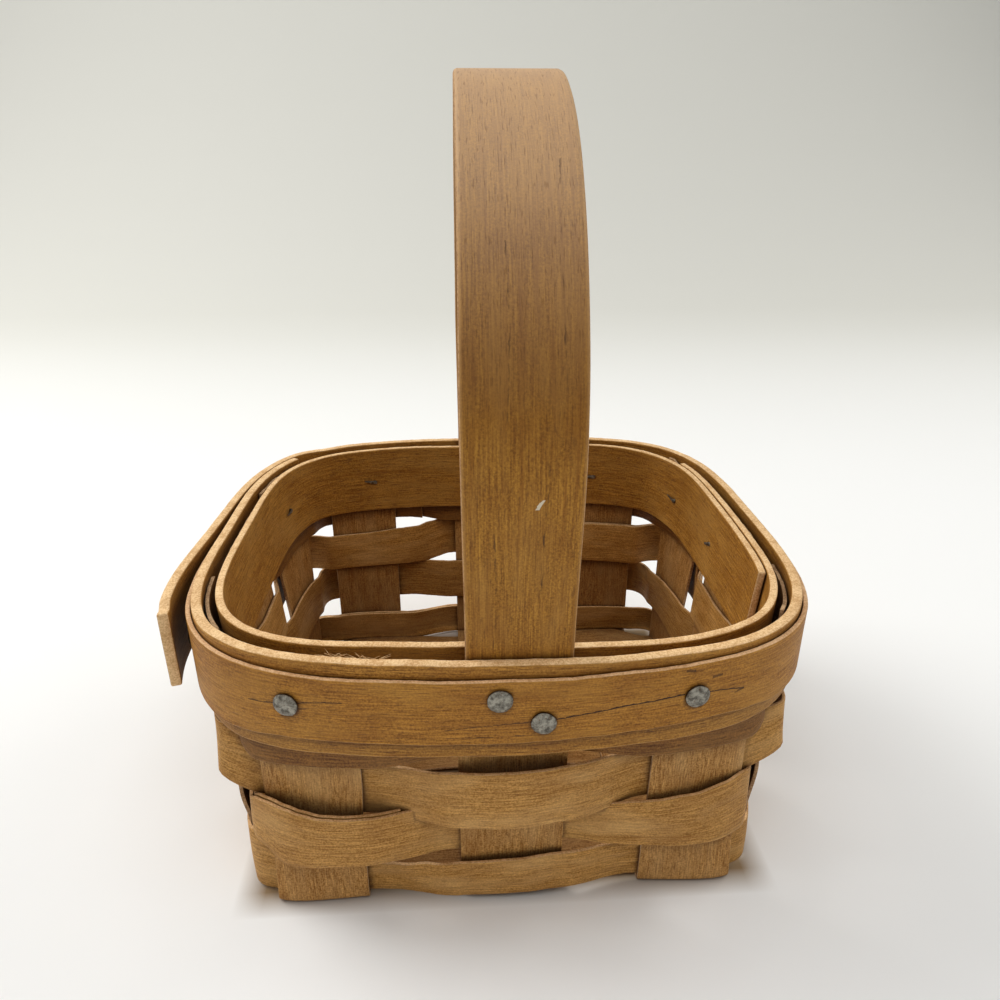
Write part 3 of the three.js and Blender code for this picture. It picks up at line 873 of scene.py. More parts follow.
@dataclass
class Workshop:
    """Finishes pieces, ties each to its node, and keeps the list of what was made.

    It paints shade into the pieces' colour by sending rays from each vertex: about its normal as far as
    the reach, and steeply up as far as the eaves. Sizes in mm.
    """

    reach: float = 6.0
    eaves: float = 12.0
    lift: float = 0.02
    rays: int = 14
    quick_rays: int = 6
    slants: tuple[float, ...] = (0.3, 0.6, 1.0, 1.5)
    # Shares of the painted shadow under edges and of the painted shade deep inside the basket.
    painted_shadow_share: float = 0.95
    inner_shade_share: float = 0.55
    deep_below: float = 50.0
    deepest: float = 14.0
    pieces: list[Piece] = field(default_factory=list)

    def keep(self, piece: Piece, node: str, slot: str, *materials: Material) -> None:
        """Dresses a piece and lets it stand for a node.

        Args:
            piece: The finished mesh object.
            node: The node that it replaces.
            slot: Not used.
            *materials: The face's finish, then the cut edge's.
        """
        while len(piece.data.materials) < len(materials):
            piece.data.materials.append(None)
        for index, material in enumerate(materials):
            piece.data.materials[index] = material
        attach(piece, BODY)
        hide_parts(node)
        self.pieces.append(piece)
        LOG.info("%s: %d faces for %s", piece.name, len(piece.data.polygons), node)

    def paint_shade(self) -> None:
        """Writes two values on each vertex: the painted shade, and the border.

        The painted shade is darkness painted into the colour where light would not reach: how far the
        vertex is hemmed in, shadowed by an edge above it, and shaded deep inside the basket. Border is
        1 on a strip's cut edges and 0 on its faces.
        """
        tree = BVHTree.FromPolygons(*self.all_faces())
        spin = random.Random(7)
        rays = self.hemisphere()
        for piece in self.pieces:
            painted_shade = [self.painted_shade(vertex, rays, tree, spin) for vertex in piece.data.vertices]
            border = [0.0] * len(painted_shade)
            for face in piece.data.polygons:
                if face.material_index == 1:
                    for index in face.vertices:
                        border[index] = 1.0
            for name, found in (("painted_shade", painted_shade), ("border", border)):
                piece.data.attributes.new(name, "FLOAT", "POINT").data.foreach_set("value", found)

    def hemisphere(self) -> list[Vector]:
        """Spreads rays evenly over the sky, by turns of the golden angle.

        Returns:
            Their directions, about straight up.
        """
        count, golden_angle = self.rays, 2.399963
        rays = []
        for number in range(count):
            height = math.sqrt((number + 0.5) / count)
            flat, turn = math.sqrt(1 - height * height), number * golden_angle
            rays.append(Vector((flat * math.cos(turn), flat * math.sin(turn), height)))
        return rays

    def painted_shade(self, vertex: bpy.types.MeshVertex, rays: list[Vector], tree: BVHTree,
                spin: random.Random) -> float:
        """Finds how much shade to paint on one vertex.

        Args:
            vertex: The vertex.
            rays: Directions about straight up.
            tree: Every piece's faces.
            spin: Turns and slants the rays by chance.
        Returns:
            The share from 0 to 1.
        """
        up, out = Vector((0, 0, 1)), vertex.normal
        turn = up.rotation_difference(out) @ Quaternion(up, spin.random() * 6.28)
        start = vertex.co + out * self.lift * MM
        hits = shadow_above = 0.0
        # Painted ambient shade: rays that meet wood close by darken the vertex.
        for ray in rays:
            hit = tree.ray_cast(start, turn @ ray, self.reach * MM)
            if hit[0] is not None:
                hits += 1 - 0.6 * hit[3] / (self.reach * MM)
        # Painted shadow: an edge just above the vertex darkens it, as if it shaded it from overhead light.
        for lean in self.slants:
            slant = up + lean * out + (spin.random() - 0.5) * 0.8 * up.cross(out)
            hit = tree.ray_cast(start, slant.normalized(), self.eaves * MM)
            if hit[0] is not None:
                shadow_above += (1 - hit[3] / (self.eaves * MM)) / len(self.slants)
        # Painted shade deep inside: faces that look inward low in the basket are darkened.
        away = Vector((vertex.co.x, vertex.co.y, 0)).normalized()
        inward = clamp(-out.dot(away)) if vertex.co.z > 3 * MM else clamp(out.z)
        depth = smooth_step((self.deep_below - vertex.co.z / MM) / (self.deep_below - self.deepest))
        free = (1 - hits / len(rays)) * (1 - self.painted_shadow_share * shadow_above)
        return 1 - free * (1 - self.inner_shade_share * inward * depth)

    def all_faces(self) -> tuple[list[Vector], list[tuple[int, ...]]]:
        """Gathers every piece as one mesh.

        Returns:
            The points, and the faces by their points' numbers.
        """
        points: list[Vector] = []
        faces: list[tuple[int, ...]] = []
        for piece in self.pieces:
            first = len(points)
            points.extend(v.co.copy() for v in piece.data.vertices)
            faces.extend(tuple(first + index for index in face.vertices) for face in piece.data.polygons)
        return points, faces


# Sub-assemblies


@dataclass
class Staves:
    """Six upright splints, woven flat across the base and bent up both walls. Sizes in mm.

    The inner and outer edges of some feet are pushed out where they stand proud, some legs bow
    out at mid height, and the left front leg is trimmed narrower at its foot. On the base the
    staves are wider, so that they close it.
    """

    thickness: float = 0.8
    top_drop: float = 1.4
    front_top_drop: float = 6.0
    bend: float = 1.8
    bend_steps: int = 5
    foot_height: float = 15.0
    bow_height: float = 26.0
    bow_reach: float = 13.0
    left_trim: float = 1.2
    trim_eased: float = 0.8
    trim_height: float = 18.0
    trim_fade: float = 20.0
    base_growth: float = 3.5
    border_growth: float = 5.3
    growth_fade: float = 12.0
    columns: int = 14
    step: float = 1.2
    rounding: float = 0.2
    feet: dict[tuple[Side, int], Point] = field(
        default_factory=lambda: {(Side.FRONT, 0): (1.9, 0.7), (Side.FRONT, 2): (-0.1, 1.7)})
    bows: dict[tuple[Side, int], float] = field(
        default_factory=lambda: {(Side.LEFT, 0): 1.8, (Side.RIGHT, 0): 1.2})
    names: tuple[tuple[str, ...], ...] = (
        ("stave_left", "stave_centre", "stave_right"),
        ("cross_stave_front", "cross_stave_middle", "cross_stave_back"))
    finish: SplitWood = SplitWood(
        "stave_splint", dark="#84531A", light="#D6A25C", pale="#D0A66C", fibre_width=0.34, fibre_length=4.5,
        streak_width=1.1, streak_length=22.0, pore_share=0.35, roughness=0.68, relief=0.22)
    edge: SawnEdge = SawnEdge("stave_edge", dark="#8C6A48", light="#C9A67C")

    def base_level(self, along_x: bool, place: int, position: float, crosses: tuple[float, ...]) -> float:
        """Finds the height of a stave's middle on the base, under or over the crossing ones.

        Args:
            along_x: Whether it is a cross stave.
            place: The stave, 0 to 2.
            position: The place along it.
            crosses: Where the crossing staves' middles are.
        Returns:
            The height in mm.
        """
        low = self.thickness / 2
        high = low + self.thickness + BASKET.weave_gap
        levels = [low if ((place + cross) % 2 == 0) != along_x else high for cross in (1, 0)]
        side = crosses[2] if position > crosses[1] else crosses[0]
        margin = BASKET.plateau_margin + (0.0 if along_x else self.base_growth)
        centre_edge = BASKET.centre_stave_width / 2 + margin
        inner_edge = abs(side - crosses[1]) - BASKET.outer_stave_width / 2 - margin
        share = smooth_step((abs(position - crosses[1]) - centre_edge) / (inner_edge - centre_edge))
        return mix(levels[0], levels[1], share)

    def path(self, along_x: bool, place: int, share: float) -> list[Vector]:
        """Lays one lengthwise line of a stave, from wall top to wall top.

        Args:
            along_x: Whether it is a cross stave.
            place: The stave, 0 to 2.
            share: The line's place across the stave, from -1 to 1.
        Returns:
            Its points in mm.
        """
        posts, crosses = (BASKET.posts_y, BASKET.posts_x) if along_x else (BASKET.posts_x, BASKET.posts_y)
        sides = (Side.LEFT, Side.RIGHT) if along_x else (Side.FRONT, Side.BACK)
        across = 0 if along_x else 1
        sign = 1 if (place == 1) == along_x else -1
        start_line = posts[place] + share * BASKET.width_of(place) / 2
        trim = self.left_trim * (share + 1) / 2
        if (along_x, place) == (False, 0):
            start_line -= trim
        drift = 0.0 if along_x else BASKET.back_drift[place]
        count = round((BASKET.rim_height - self.top_drop - self.bend) / self.step)
        level = self.base_level(along_x, place, crosses[2], crosses)

        def on_wall(side: Side, z: float) -> Vector:
            """Finds the stave's point on one wall.

            Args:
                side: The wall.
                z: Height in mm.
            Returns:
                The point in mm.
            """
            inner, outer = self.feet.get((side, place), (0.0, 0.0))
            push = mix(inner, outer, (share + 1) / 2) * (1 - smooth_step(z / self.foot_height))
            bow = smooth_step(1 - abs(z - self.bow_height) / self.bow_reach)
            push += self.bows.get((side, place), 0.0) * bow
            line = start_line + drift * (side is Side.BACK)
            if side is Side.FRONT and place == 0:
                line += self.trim_eased * trim * smooth_step((z - self.trim_height) / self.trim_fade)
            point = BASKET.wall_point(BASKET.angle_at(side, line, z), z, sign, push)
            point[1 - across] = line
            return point

        def leg(side: Side) -> list[Vector]:
            """Lays one wall's part, from its rough-cut top down round the bend.

            Args:
                side: The wall.
            Returns:
                Its points in mm.
            """
            drop = self.front_top_drop if side is Side.FRONT else self.top_drop
            top = BASKET.rim_height - drop - 0.5 * abs(ripple(place + 3 * along_x, start_line / 1.3))
            points = [on_wall(side, mix(top, self.bend, i / count)) for i in range(count + 1)]
            corner = on_wall(side, level)
            corner.z = level
            inner = corner.copy()
            inner[across] -= math.copysign(self.bend, corner[across])
            first = points[-1]
            for i in range(1, self.bend_steps + 1):
                t = i / self.bend_steps
                points.append(first * (1 - t) ** 2 + corner * 2 * t * (1 - t) + inner * t * t)
            return points

        start, end = leg(sides[0]), leg(sides[1])
        low, high = start[-1][across], end[-1][across]
        steps = round((high - low) / self.step)
        growth = share * (self.border_growth if share * (place - 1) > 0 else self.base_growth * along_x)
        base = []
        for i in range(1, steps):
            position = mix(low, high, i / steps)
            z = self.base_level(along_x, place, position, crosses)
            line = start_line + drift * i / steps
            line += growth * smooth_step(min(i, steps - i) * self.step / self.growth_fade)
            base.append(Vector((position, line, z)) if along_x else Vector((line, position, z)))
        return start + base + end[::-1]

    def build(self, shop: Workshop) -> None:
        """Builds the six staves.

        Args:
            shop: Keeps the pieces.
        """
        for along_x, names in zip((False, True), self.names):
            for place, node in enumerate(names):
                shares = [mix(-1, 1, j / (self.columns - 1)) for j in range(self.columns)]
                lines = [self.path(along_x, place, share) for share in shares]
                grid = [list(points) for points in zip(*lines)]
                strip = bend_strip(f"{node}_splint", grid, self.thickness, self.rounding)
                seed = 3 * along_x + place + 1
                shop.keep(strip, node, "stave_wood", self.finish.material(seed), self.edge.material(seed))


@dataclass(frozen=True)
class Row:
    """One woven row. Heights and distances are in mm, angles in degrees round the basket.

    The low and high edges are knots (angle, height). A row dips on the flat walls and rises at
    the corners. Slacks say how far it stands out at the corners, from the back right one round
    to the front right one. A belly is how far it bows out over one leg that it passes outside,
    by the leg's number in order round the basket, and flare is how much more its low edge does.
    """

    middle: float
    lap_start: float
    lap_span: float
    end_outside: bool
    slacks: tuple[float, float, float, float]
    flare: float
    bellies: dict[int, float]
    low: Knots
    high: Knots


STARTER = Row(
    middle=7.0, lap_start=96, lap_span=50, end_outside=True, slacks=(0.6, 0.6, -0.2, -0.8), flare=0.3,
    bellies={10: 0.9, 4: 0.5, 0: 0.3, 2: 0.3, 6: 0.3, 8: 0.3},
    low=(
        (0, 1.6), (45, 1.6), (90, 0.6), (135, 1.6), (180, 1.4), (215, 0.7), (228, 0.6), (236, 1.2),
        (243, 0.8), (252, 0.8), (262, 1.3), (272, 1.6), (284, 2.3), (292, 2.1), (300, 2.0), (315, 0.8),
        (325, 1.2)),
    high=(
        (0, 12.0), (47, 10.6), (90, 10.8), (113, 11.0), (135, 11.6), (180, 12.0), (206, 13.0),
        (215, 16.4), (221, 17.8), (224, 16.6), (227.5, 13.4), (234, 10.6), (240, 9.6), (246, 9.6),
        (252, 11.2), (260, 12.2), (270, 12.8), (282, 14.0), (291, 13.7), (299, 12.6), (306, 12.6),
        (315, 13.0)),
)
SECOND = Row(
    middle=22.2, lap_start=198, lap_span=49, end_outside=False, slacks=(2.2, 2.2, -1.0, -0.9), flare=0.3,
    bellies={9: 2.1, 11: 0.9, 3: 0.8, 5: 0.7, 1: 0.8, 7: 0.9},
    low=(
        (0, 15.0), (45, 14.8), (90, 16.0), (113, 16.2), (135, 15.4), (180, 15.0), (212, 17.4),
        (221, 20.4), (224.5, 19.0), (227.5, 15.4), (234, 15.7), (242, 14.8), (250, 14.2), (258, 14.0),
        (270, 15.4), (282, 15.9), (291, 15.0), (299, 15.2), (307, 14.4), (316, 14.5), (326, 15.6)),
    high=(
        (0, 29.6), (45, 27.2), (90, 29.6), (109, 29.8), (135, 29.2), (180, 29.6), (217, 29.2),
        (221.5, 29.6), (224, 31.6), (226.5, 32.2), (229, 31.7), (231, 30.8), (234, 29.7), (238, 29.1),
        (244, 28.7), (270, 28.6), (289, 27.4), (299, 28.8), (306, 29.7), (311.5, 31.4), (315, 32.0),
        (317, 31.4), (320, 29.6), (328, 30.2)),
)
THIRD = Row(
    middle=37.5, lap_start=20, lap_span=50, end_outside=True, slacks=(3.3, 3.3, 2.1, 2.2), flare=1.3,
    bellies={10: 3.0, 4: 1.0, 0: 0.6, 2: 0.5, 6: 0.6, 8: 0.5},
    low=(
        (0, 30.9), (45, 29.0), (75, 30.5), (90, 31.0), (103, 31.0), (111, 29.9), (128, 29.6), (150, 30.8),
        (180, 30.6), (202, 32.2), (213, 34.5), (219, 35.3), (223, 29.6), (228, 28.4), (238, 26.6),
        (247, 26.0), (256, 26.6), (264, 27.3), (280, 27.8), (290, 26.7), (300, 28.0), (308, 28.9),
        (316.5, 29.6), (321, 36.4), (328, 35.6), (342, 32.5)),
    high=(
        (0, 43.7), (47, 43.2), (76, 43.6), (90, 44.9), (104, 44.9), (109, 44.2), (113, 43.2), (128, 42.0),
        (150, 43.4), (180, 44.4), (202, 49.2), (216, 50.3), (220.5, 49.2), (224, 45.9), (232, 41.8),
        (244, 40.6), (252, 40.7), (260, 42.0), (269, 42.7), (282, 42.8), (291, 42.1), (300, 43.2),
        (308, 44.4), (315, 46.0), (321, 48.7), (340, 46.0)),
)
TOP_ROW = Row(
    middle=52.7, lap_start=111, lap_span=16, end_outside=True, slacks=(0.3, 0.3, 0.3, 0.3), flare=0.9,
    bellies={},
    low=(
        (0, 45.0), (47, 45.3), (76, 45.5), (90, 44.9), (104, 44.9), (113, 45.6), (135, 45.3), (180, 45.0),
        (204, 46.4), (216, 49.2), (220, 48.4), (225, 42.6), (232, 42.7), (246, 42.7), (258, 43.6),
        (282, 43.6), (298, 42.9), (308, 43.0), (315, 43.0), (320, 48.4), (325, 49.2), (342, 45.6)),
    high=(
        (0, 59.9), (180, 59.9)),
)


@dataclass
class WovenRows:
    """Four strips woven round the staves, each lapped over itself. Sizes in mm and degrees."""

    thickness: float = 0.8
    lap_blend: float = 9.0
    step: float = 0.75
    columns: int = 12
    rounding: float = 0.2
    cupping: float = 0.18
    waviness: float = 0.12
    rows: tuple[Row, ...] = (STARTER, SECOND, THIRD, TOP_ROW)
    finish: SplitWood = SplitWood(
        "row_splint", dark="#8C5C1C", light="#D5A054", pale="#DAAE70", fibre_length=7.0, streak_width=1.6,
        streak_share=0.42, pore_share=0.32, roughness=0.62)
    # Darker finish for the top row: painted shade, for the bands' shadow on it.
    band_shaded: SplitWood = SplitWood(
        "band_shaded_row_splint", dark="#5C3408", light="#A06C2C", pale="#A0753C", streak="#5E3608",
        fibre_length=7.0, pore_share=0.32)
    edge: SawnEdge = SawnEdge("row_edge", dark="#B0824C", light="#E4B985")

    def belly(self, row: Row, angle: float) -> float:
        """Finds how far a row bows out over the leg at an angle.

        Args:
            row: The row.
            angle: Degrees round the basket.
        Returns:
            The distance in mm.
        """
        spans = BASKET.spans(row.middle)
        bow = 0.0
        for number, depth in row.bellies.items():
            span = spans[number]
            reach = (span.end - span.start) * 0.95
            away = (angle - span.middle + 180) % FULL_TURN - 180
            if abs(away) < reach:
                bow = max(bow, depth * math.cos(math.pi / 2 * away / reach) ** 2)
        return bow

    def outward(self, number: int, angle: float, t: float) -> float:
        """Finds how far a row's middle stands out from the wall.

        Args:
            number: The row, 0 to 3 from the bottom.
            angle: Degrees along the row, past a full turn where it laps.
            t: The place across it, 0 at the low edge and 1 at the high one.
        Returns:
            The distance in mm.
        """
        row = self.rows[number]
        row_sign = 1 if number % 2 else -1
        sign = row_sign * BASKET.weave(row.middle, angle)
        outside = (1 + sign) / 2
        first = 1 - smooth_step((angle - row.lap_start - row.lap_span - 1) / self.lap_blend)
        second = smooth_step((angle - row.lap_start - FULL_TURN + 1 + self.lap_blend) / self.lap_blend)
        outer, inner = (second, first) if row.end_outside else (first, second)
        layer = (outer * outside - inner * (1 - outside)) * (self.thickness + BASKET.layer_gap)
        push = BASKET.corner_push(row.middle, row_sign, angle, row.slacks)
        push += self.belly(row, angle) + row.flare * (1 - t) ** 2 * outside
        if number < 3:
            wave = self.waviness * (1 + ripple(number + 11, angle / 6, t * 1.5))
            push += outside * (self.cupping * math.sin(math.pi * t) + wave)
        return sign * BASKET.weave_offset + layer + push

    def point(self, number: int, angle: float, t: float) -> Vector:
        """Finds a point of a row's middle.

        Args:
            number, angle, t: As for outward.
        Returns:
            The point in mm.
        """
        row = self.rows[number]
        z = mix(round_trip(row.low, angle), round_trip(row.high, angle), t)
        z += 0.15 * ripple(number + 1, angle / 14) + edge_wear(0.1, number + 21, angle / 1.2, t, 9)
        return BASKET.wall_point(angle, z, BASKET.weave(row.middle, angle), self.outward(number, angle, t))

    def build(self, shop: Workshop) -> None:
        """Builds the four rows. The top one, mostly under the bands, has a darker finish: painted shade for
        the bands' shadow on it.

        Args:
            shop: Keeps the pieces.
        """
        for number, row in enumerate(self.rows):
            end = row.lap_start + FULL_TURN + row.lap_span
            grid = lay_out(row.lap_start, end, self.step, self.columns,
                           lambda angle, t: self.point(number, angle, t))
            name, seed = f"weaver_row_{number + 1}", 11 + number
            strip = bend_strip(f"{name}_splint", grid, self.thickness, self.rounding)
            # The top row gets painted shade for the bands' shadow.
            finish = self.band_shaded if row is TOP_ROW else self.finish
            shop.keep(strip, name, "weaver_wood", finish.material(seed), self.edge.material(seed))


@dataclass
class RimBands:
    """The outer band with its loose tail and torn fibres, the trim strip over it, and the inner band.

    Sizes are in mm, and angles in degrees round the basket.
    """

    height: float = 20.7
    outer_thickness: float = 2.3
    inner_thickness: float = 1.8
    trim_thickness: float = 1.1
    head_gap: float = 0.15
    start: float = 141.0
    tail_end: float = 572.0
    tail_spring: float = 4.2
    tail_rise: float = 3.6
    tail_rise_start: float = 530.0
    trim_start: float = 180.0
    trim_end: float = 486.0
    inner_start: float = 333.0
    inner_end: float = 751.0
    inner_wander_height: float = 45.5
    lap_blend: float = 9.0
    inner_blend: float = 26.0
    step: float = 0.75
    columns: int = 34
    frayed: Point = (240.5, 249.5)
    strands: int = 20
    strand_radius: float = 0.09
    strand_tip: float = 0.02
    band_high: Knots = (
        (0, 71.4), (180, 71.4), (212, 72.0), (226, 73.1), (240, 73.1), (250, 72.7), (262, 72.1),
        (272, 71.9), (284, 71.8), (296, 72.3), (310, 72.2), (330, 71.6))
    band_low: Knots = (
        (0, 50.7), (180, 50.7), (222, 50.1), (233, 51.0), (241, 51.3), (258, 50.7), (272, 50.3),
        (284, 51.0), (293, 51.7), (305, 52.0), (313, 52.1), (335, 51.0))
    inner_high: Knots = (
        (0, 71.3), (180, 71.5), (222, 71.9), (246, 72.1), (260, 71.8), (269, 71.4), (281, 70.4),
        (300, 70.2), (315, 70.4), (335, 71.1))
    trim_high: Knots = (
        (0, 69.6), (180, 69.6), (222, 70.7), (232, 70.5), (246, 69.9), (262, 69.2), (278, 69.1),
        (291, 69.9), (303, 70.5), (313, 70.6), (340, 69.7))
    trim_low: Knots = (
        (0, 55.0), (180, 55.0), (223, 53.7), (228, 54.5), (234, 55.4), (240, 55.6), (247, 55.4),
        (258, 54.8), (270, 54.5), (276, 54.7), (283, 55.3), (291, 56.1), (297, 56.7), (304, 57.2),
        (309, 56.8), (314, 56.0), (335, 55.2))
    cracks: tuple[Crack, ...] = (
        Crack(((258.5, 58.4), (266.1, 59.2), (273.3, 59.7)), 0.1, False, 0.75),
        Crack(((275.2, 59.9), (281.1, 60.9), (285.5, 61.8), (291.3, 62.9), (297.5, 63.8)),
              0.17, False, 0.95),
        Crack(((299.5, 63.7), (301.4, 63.5), (304.0, 63.2), (307.0, 62.4)), 0.13, False, 0.9),
        Crack(((229.5, 62.9), (231.2, 63.0), (235.0, 63.6)), 0.12, False, 0.8),
        Crack(((236.5, 64.0), (239.8, 64.7), (243.5, 65.0)), 0.13, False, 0.85),
        Crack(((236.5, 62.8), (241.0, 63.2), (246.0, 63.0)), 0.14, True, 0.7),
        Crack(((297.2, 69.2), (298.7, 69.0)), 0.3, False, 0.7),
        Crack(((301.4, 66.8), (303.0, 67.1)), 0.26, False, 0.7),
        Crack(((305.4, 62.0), (307.0, 62.5)), 0.26, False, 0.65),
        Crack(((246.0, 57.0), (262.0, 56.5), (280.0, 57.2)), 0.14, True, 0.6),
    )
    band: SplitWood = SplitWood(
        "band_wood", dark="#7C4C0A", light="#C58C38", pale="#C29248", fibre_length=8.0, streak_width=1.4,
        pore_width=0.26, pore_length=2.8)
    trim: SplitWood = SplitWood(
        "trim_wood", dark="#7C4B08", light="#C2862E", pale="#C08C3A", fibre_length=7.0, streak_width=1.3,
        pore_width=0.26, pore_length=2.6, pore_share=0.4)
    # The bands' cut edges are paler wood, partly brightened as a painted highlight on their top edges.
    edge: SawnEdge = SawnEdge("band_edge_and_highlight", dark="#C59862", light="#EFCB98")
    trim_edge: SawnEdge = SawnEdge("trim_edge", dark="#BA8C5C", light="#E3BA8C")

    def upright(self, name: str, ends: Point, thickness: float, rounding: float, distance: ByAngle,
                low: ByAngle, high: ByAngle, seed: float) -> Piece:
        """Makes a band round the rim, with its own edges and stand-off at each angle.

        Args:
            name: The piece's name.
            ends: The angles of its ends.
            thickness, rounding: In mm.
            distance: Stand-off of its middle from the rim's outside.
            low, high: Heights of its edges.
            seed: For its small waves.
        Returns:
            The band.
        """
        def point(angle: float, t: float) -> Vector:
            """Finds a point of the band's middle.

            Args:
                angle: Degrees along the band.
                t: The place across it, 0 at the low edge and 1 at the high one.
            Returns:
                The point in mm.
            """
            wave = 0.1 * ripple(seed, angle / 9, t * 1.3)
            x, y = BASKET.rim.offset(angle, distance(angle) + wave)
            rough = edge_wear(0.09, seed + 3, angle / 0.9, t, 7)
            return Vector((x, y, mix(low(angle), high(angle), t) + rough))

        return bend_strip(name, lay_out(*ends, self.step, self.columns, point), thickness, rounding)

    def tail_stand_off(self, angle: float) -> float:
        """Finds how far the tail's outer face stands off the rim's outside.

        Args:
            angle: Degrees along the band, past a full turn.
        Returns:
            The distance in mm.
        """
        root = FULL_TURN + self.start
        part = max(0.0, angle - root) / (self.tail_end - root)
        return BASKET.layer_gap + self.outer_thickness + self.tail_spring * part ** 2

    def build(self, shop: Workshop) -> None:
        """Builds the three hoops.

        Args:
            shop: Keeps the pieces.
        """
        self.build_outer(shop)
        trim = self.upright(
            "trim_strip_hoop", (self.trim_start, self.trim_end), self.trim_thickness, 0.3,
            lambda angle: self.head_gap + self.trim_thickness / 2,
            lambda angle: round_trip(self.trim_low, angle),
            lambda angle: round_trip(self.trim_high, angle), 2.0)
        cracks = tuple(self.on_trim(crack) for crack in self.cracks)
        finish = self.trim.material(22, cracks)
        shop.keep(trim, "trim_strip", "trim_wood", finish, self.trim_edge.material(22))
        self.build_inner(shop)

    def build_outer(self, shop: Workshop) -> None:
        """Builds the outer band, lapped over its own start and loose at its end.

        Args:
            shop: Keeps the piece.
        """
        def distance(angle: float) -> float:
            """Returns the band's stand-off: on the rim, then over its own start."""
            second = smooth_step((angle - (self.start + FULL_TURN) + 1 + self.lap_blend) / self.lap_blend)
            return second * self.tail_stand_off(angle) - self.outer_thickness / 2

        def low(angle: float) -> float:
            """Returns the band's lower edge, cut away towards the tail's end."""
            part = (angle - self.tail_rise_start) / (self.tail_end - self.tail_rise_start)
            return round_trip(self.band_low, angle) + self.tail_rise * smooth_step(part)

        def high(angle: float) -> float:
            """Returns the band's upper edge, with the small chip near the tail's end."""
            chip = 0.9 * smooth_step(1 - abs(angle - self.tail_end + 2.2) / 1.8)
            return round_trip(self.band_high, angle) - chip + 0.15 * ripple(5.0, angle / 13)

        band = self.upright("outer_band_hoop", (self.start, self.tail_end), self.outer_thickness, 0.4,
                            distance, low, high, 1.0)
        self.fray(band)
        shop.keep(band, "outer_band", "band_wood", self.band.material(21), self.edge.material(21))

    def fray(self, band: Piece) -> None:
        """Raises torn fibres from the band's inner top edge at the front, as part of the band.

        Args:
            band: The outer band.
        """
        chance = random.Random(5)
        strands = [self.strand(chance, number % 4 == 0) for number in range(self.strands)]
        finishes = [face.material_index for face in band.data.polygons]
        pick(band, *strands)
        bpy.ops.object.join()
        while len(band.data.materials) < 2:
            band.data.materials.append(None)
        finishes += [1] * (len(band.data.polygons) - len(finishes))
        band.data.polygons.foreach_set("material_index", finishes)

    def strand(self, chance: random.Random, upright: bool) -> Piece:
        """Makes one torn fibre, its root in the band's edge.

        Args:
            chance: Gives its place, length and lean.
            upright: Whether it stands up more than it lies.
        Returns:
            The fibre.
        """
        angle = mix(*self.frayed, chance.random())
        x, y = BASKET.rim.offset(angle, -self.outer_thickness + 0.25 * chance.random())
        root = Vector((x, y, round_trip(self.band_high, angle) - 0.15)) * MM
        length = (1.9 if upright else 2.8) * mix(0.5, 1.0, chance.random()) * MM
        bpy.ops.object.select_all(action="DESELECT")
        bpy.ops.mesh.primitive_cone_add(vertices=5, radius1=self.strand_radius * MM,
                                        radius2=self.strand_tip * MM, depth=length)
        strand = bpy.context.object
        along = Vector((chance.choice((-1, 1)), 0.5 * chance.random(), 0.0))
        along.z = (1.4 if upright else 0.25) * chance.random() + 0.1
        turn = along.normalized().to_track_quat("Z", "Y")
        for vertex in strand.data.vertices:
            vertex.co.z += length / 2
            vertex.co = turn @ vertex.co + root
        return strand

    def on_trim(self, crack: Crack) -> Crack:
        """Places a crack by the trim's own length and width.

        Args:
            crack: The crack, by angle and height.
        Returns:
            The same crack, by its distances along and across the trim in mm.
        """
        width = round_trip(self.trim_high, self.trim_start) - round_trip(self.trim_low, self.trim_start)
        spots = []
        for angle, z in crack.points:
            steps = round((angle - self.trim_start) * 2)
            turns = [mix(self.trim_start, angle, i / steps) for i in range(steps + 1)]
            line = [BASKET.rim.offset(turn, self.head_gap + self.trim_thickness / 2) for turn in turns]
            length = sum(math.dist(a, b) for a, b in zip(line, line[1:]))
            low, high = round_trip(self.trim_low, angle), round_trip(self.trim_high, angle)
            spots.append((length, ((z - low) / (high - low) - 0.5) * width))
        return replace(crack, points=tuple(spots))

    def build_inner(self, shop: Workshop) -> None:
        """Builds the inner band, which follows the leaning wall and is lapped on the right.

        Args:
            shop: Keeps the piece.
        """
        bottom = BASKET.rim_height - self.height
        wander = BASKET.wander * self.inner_wander_height / BASKET.rim_height
        inset = BASKET.weave_offset - wander + BASKET.weaver_thickness / 2 + BASKET.layer_gap

        def point(angle: float, t: float) -> Vector:
            """Finds a point of the band's middle.

            Args:
                angle: Degrees along the band.
                t: The place across it, 0 at the low edge and 1 at the high one.
            Returns:
                The point in mm.
            """
            first = 1 - smooth_step((angle - (self.inner_end - FULL_TURN) - 1) / self.inner_blend)
            inward = inset + self.inner_thickness / 2 + first * (self.inner_thickness + BASKET.layer_gap)
            z = mix(bottom, round_trip(self.inner_high, angle), t)
            z += edge_wear(0.09, 33, angle / 0.9, t, 7) + 0.2 * ripple(31, angle / 16)
            return BASKET.wall_point(angle, z, 0, -inward)

        grid = lay_out(self.inner_start, self.inner_end, self.step, self.columns, point)
        band = bend_strip("inner_band_hoop", grid, self.inner_thickness, 0.35)
        shop.keep(band, "inner_band", "band_wood", self.band.material(23), self.edge.material(23))


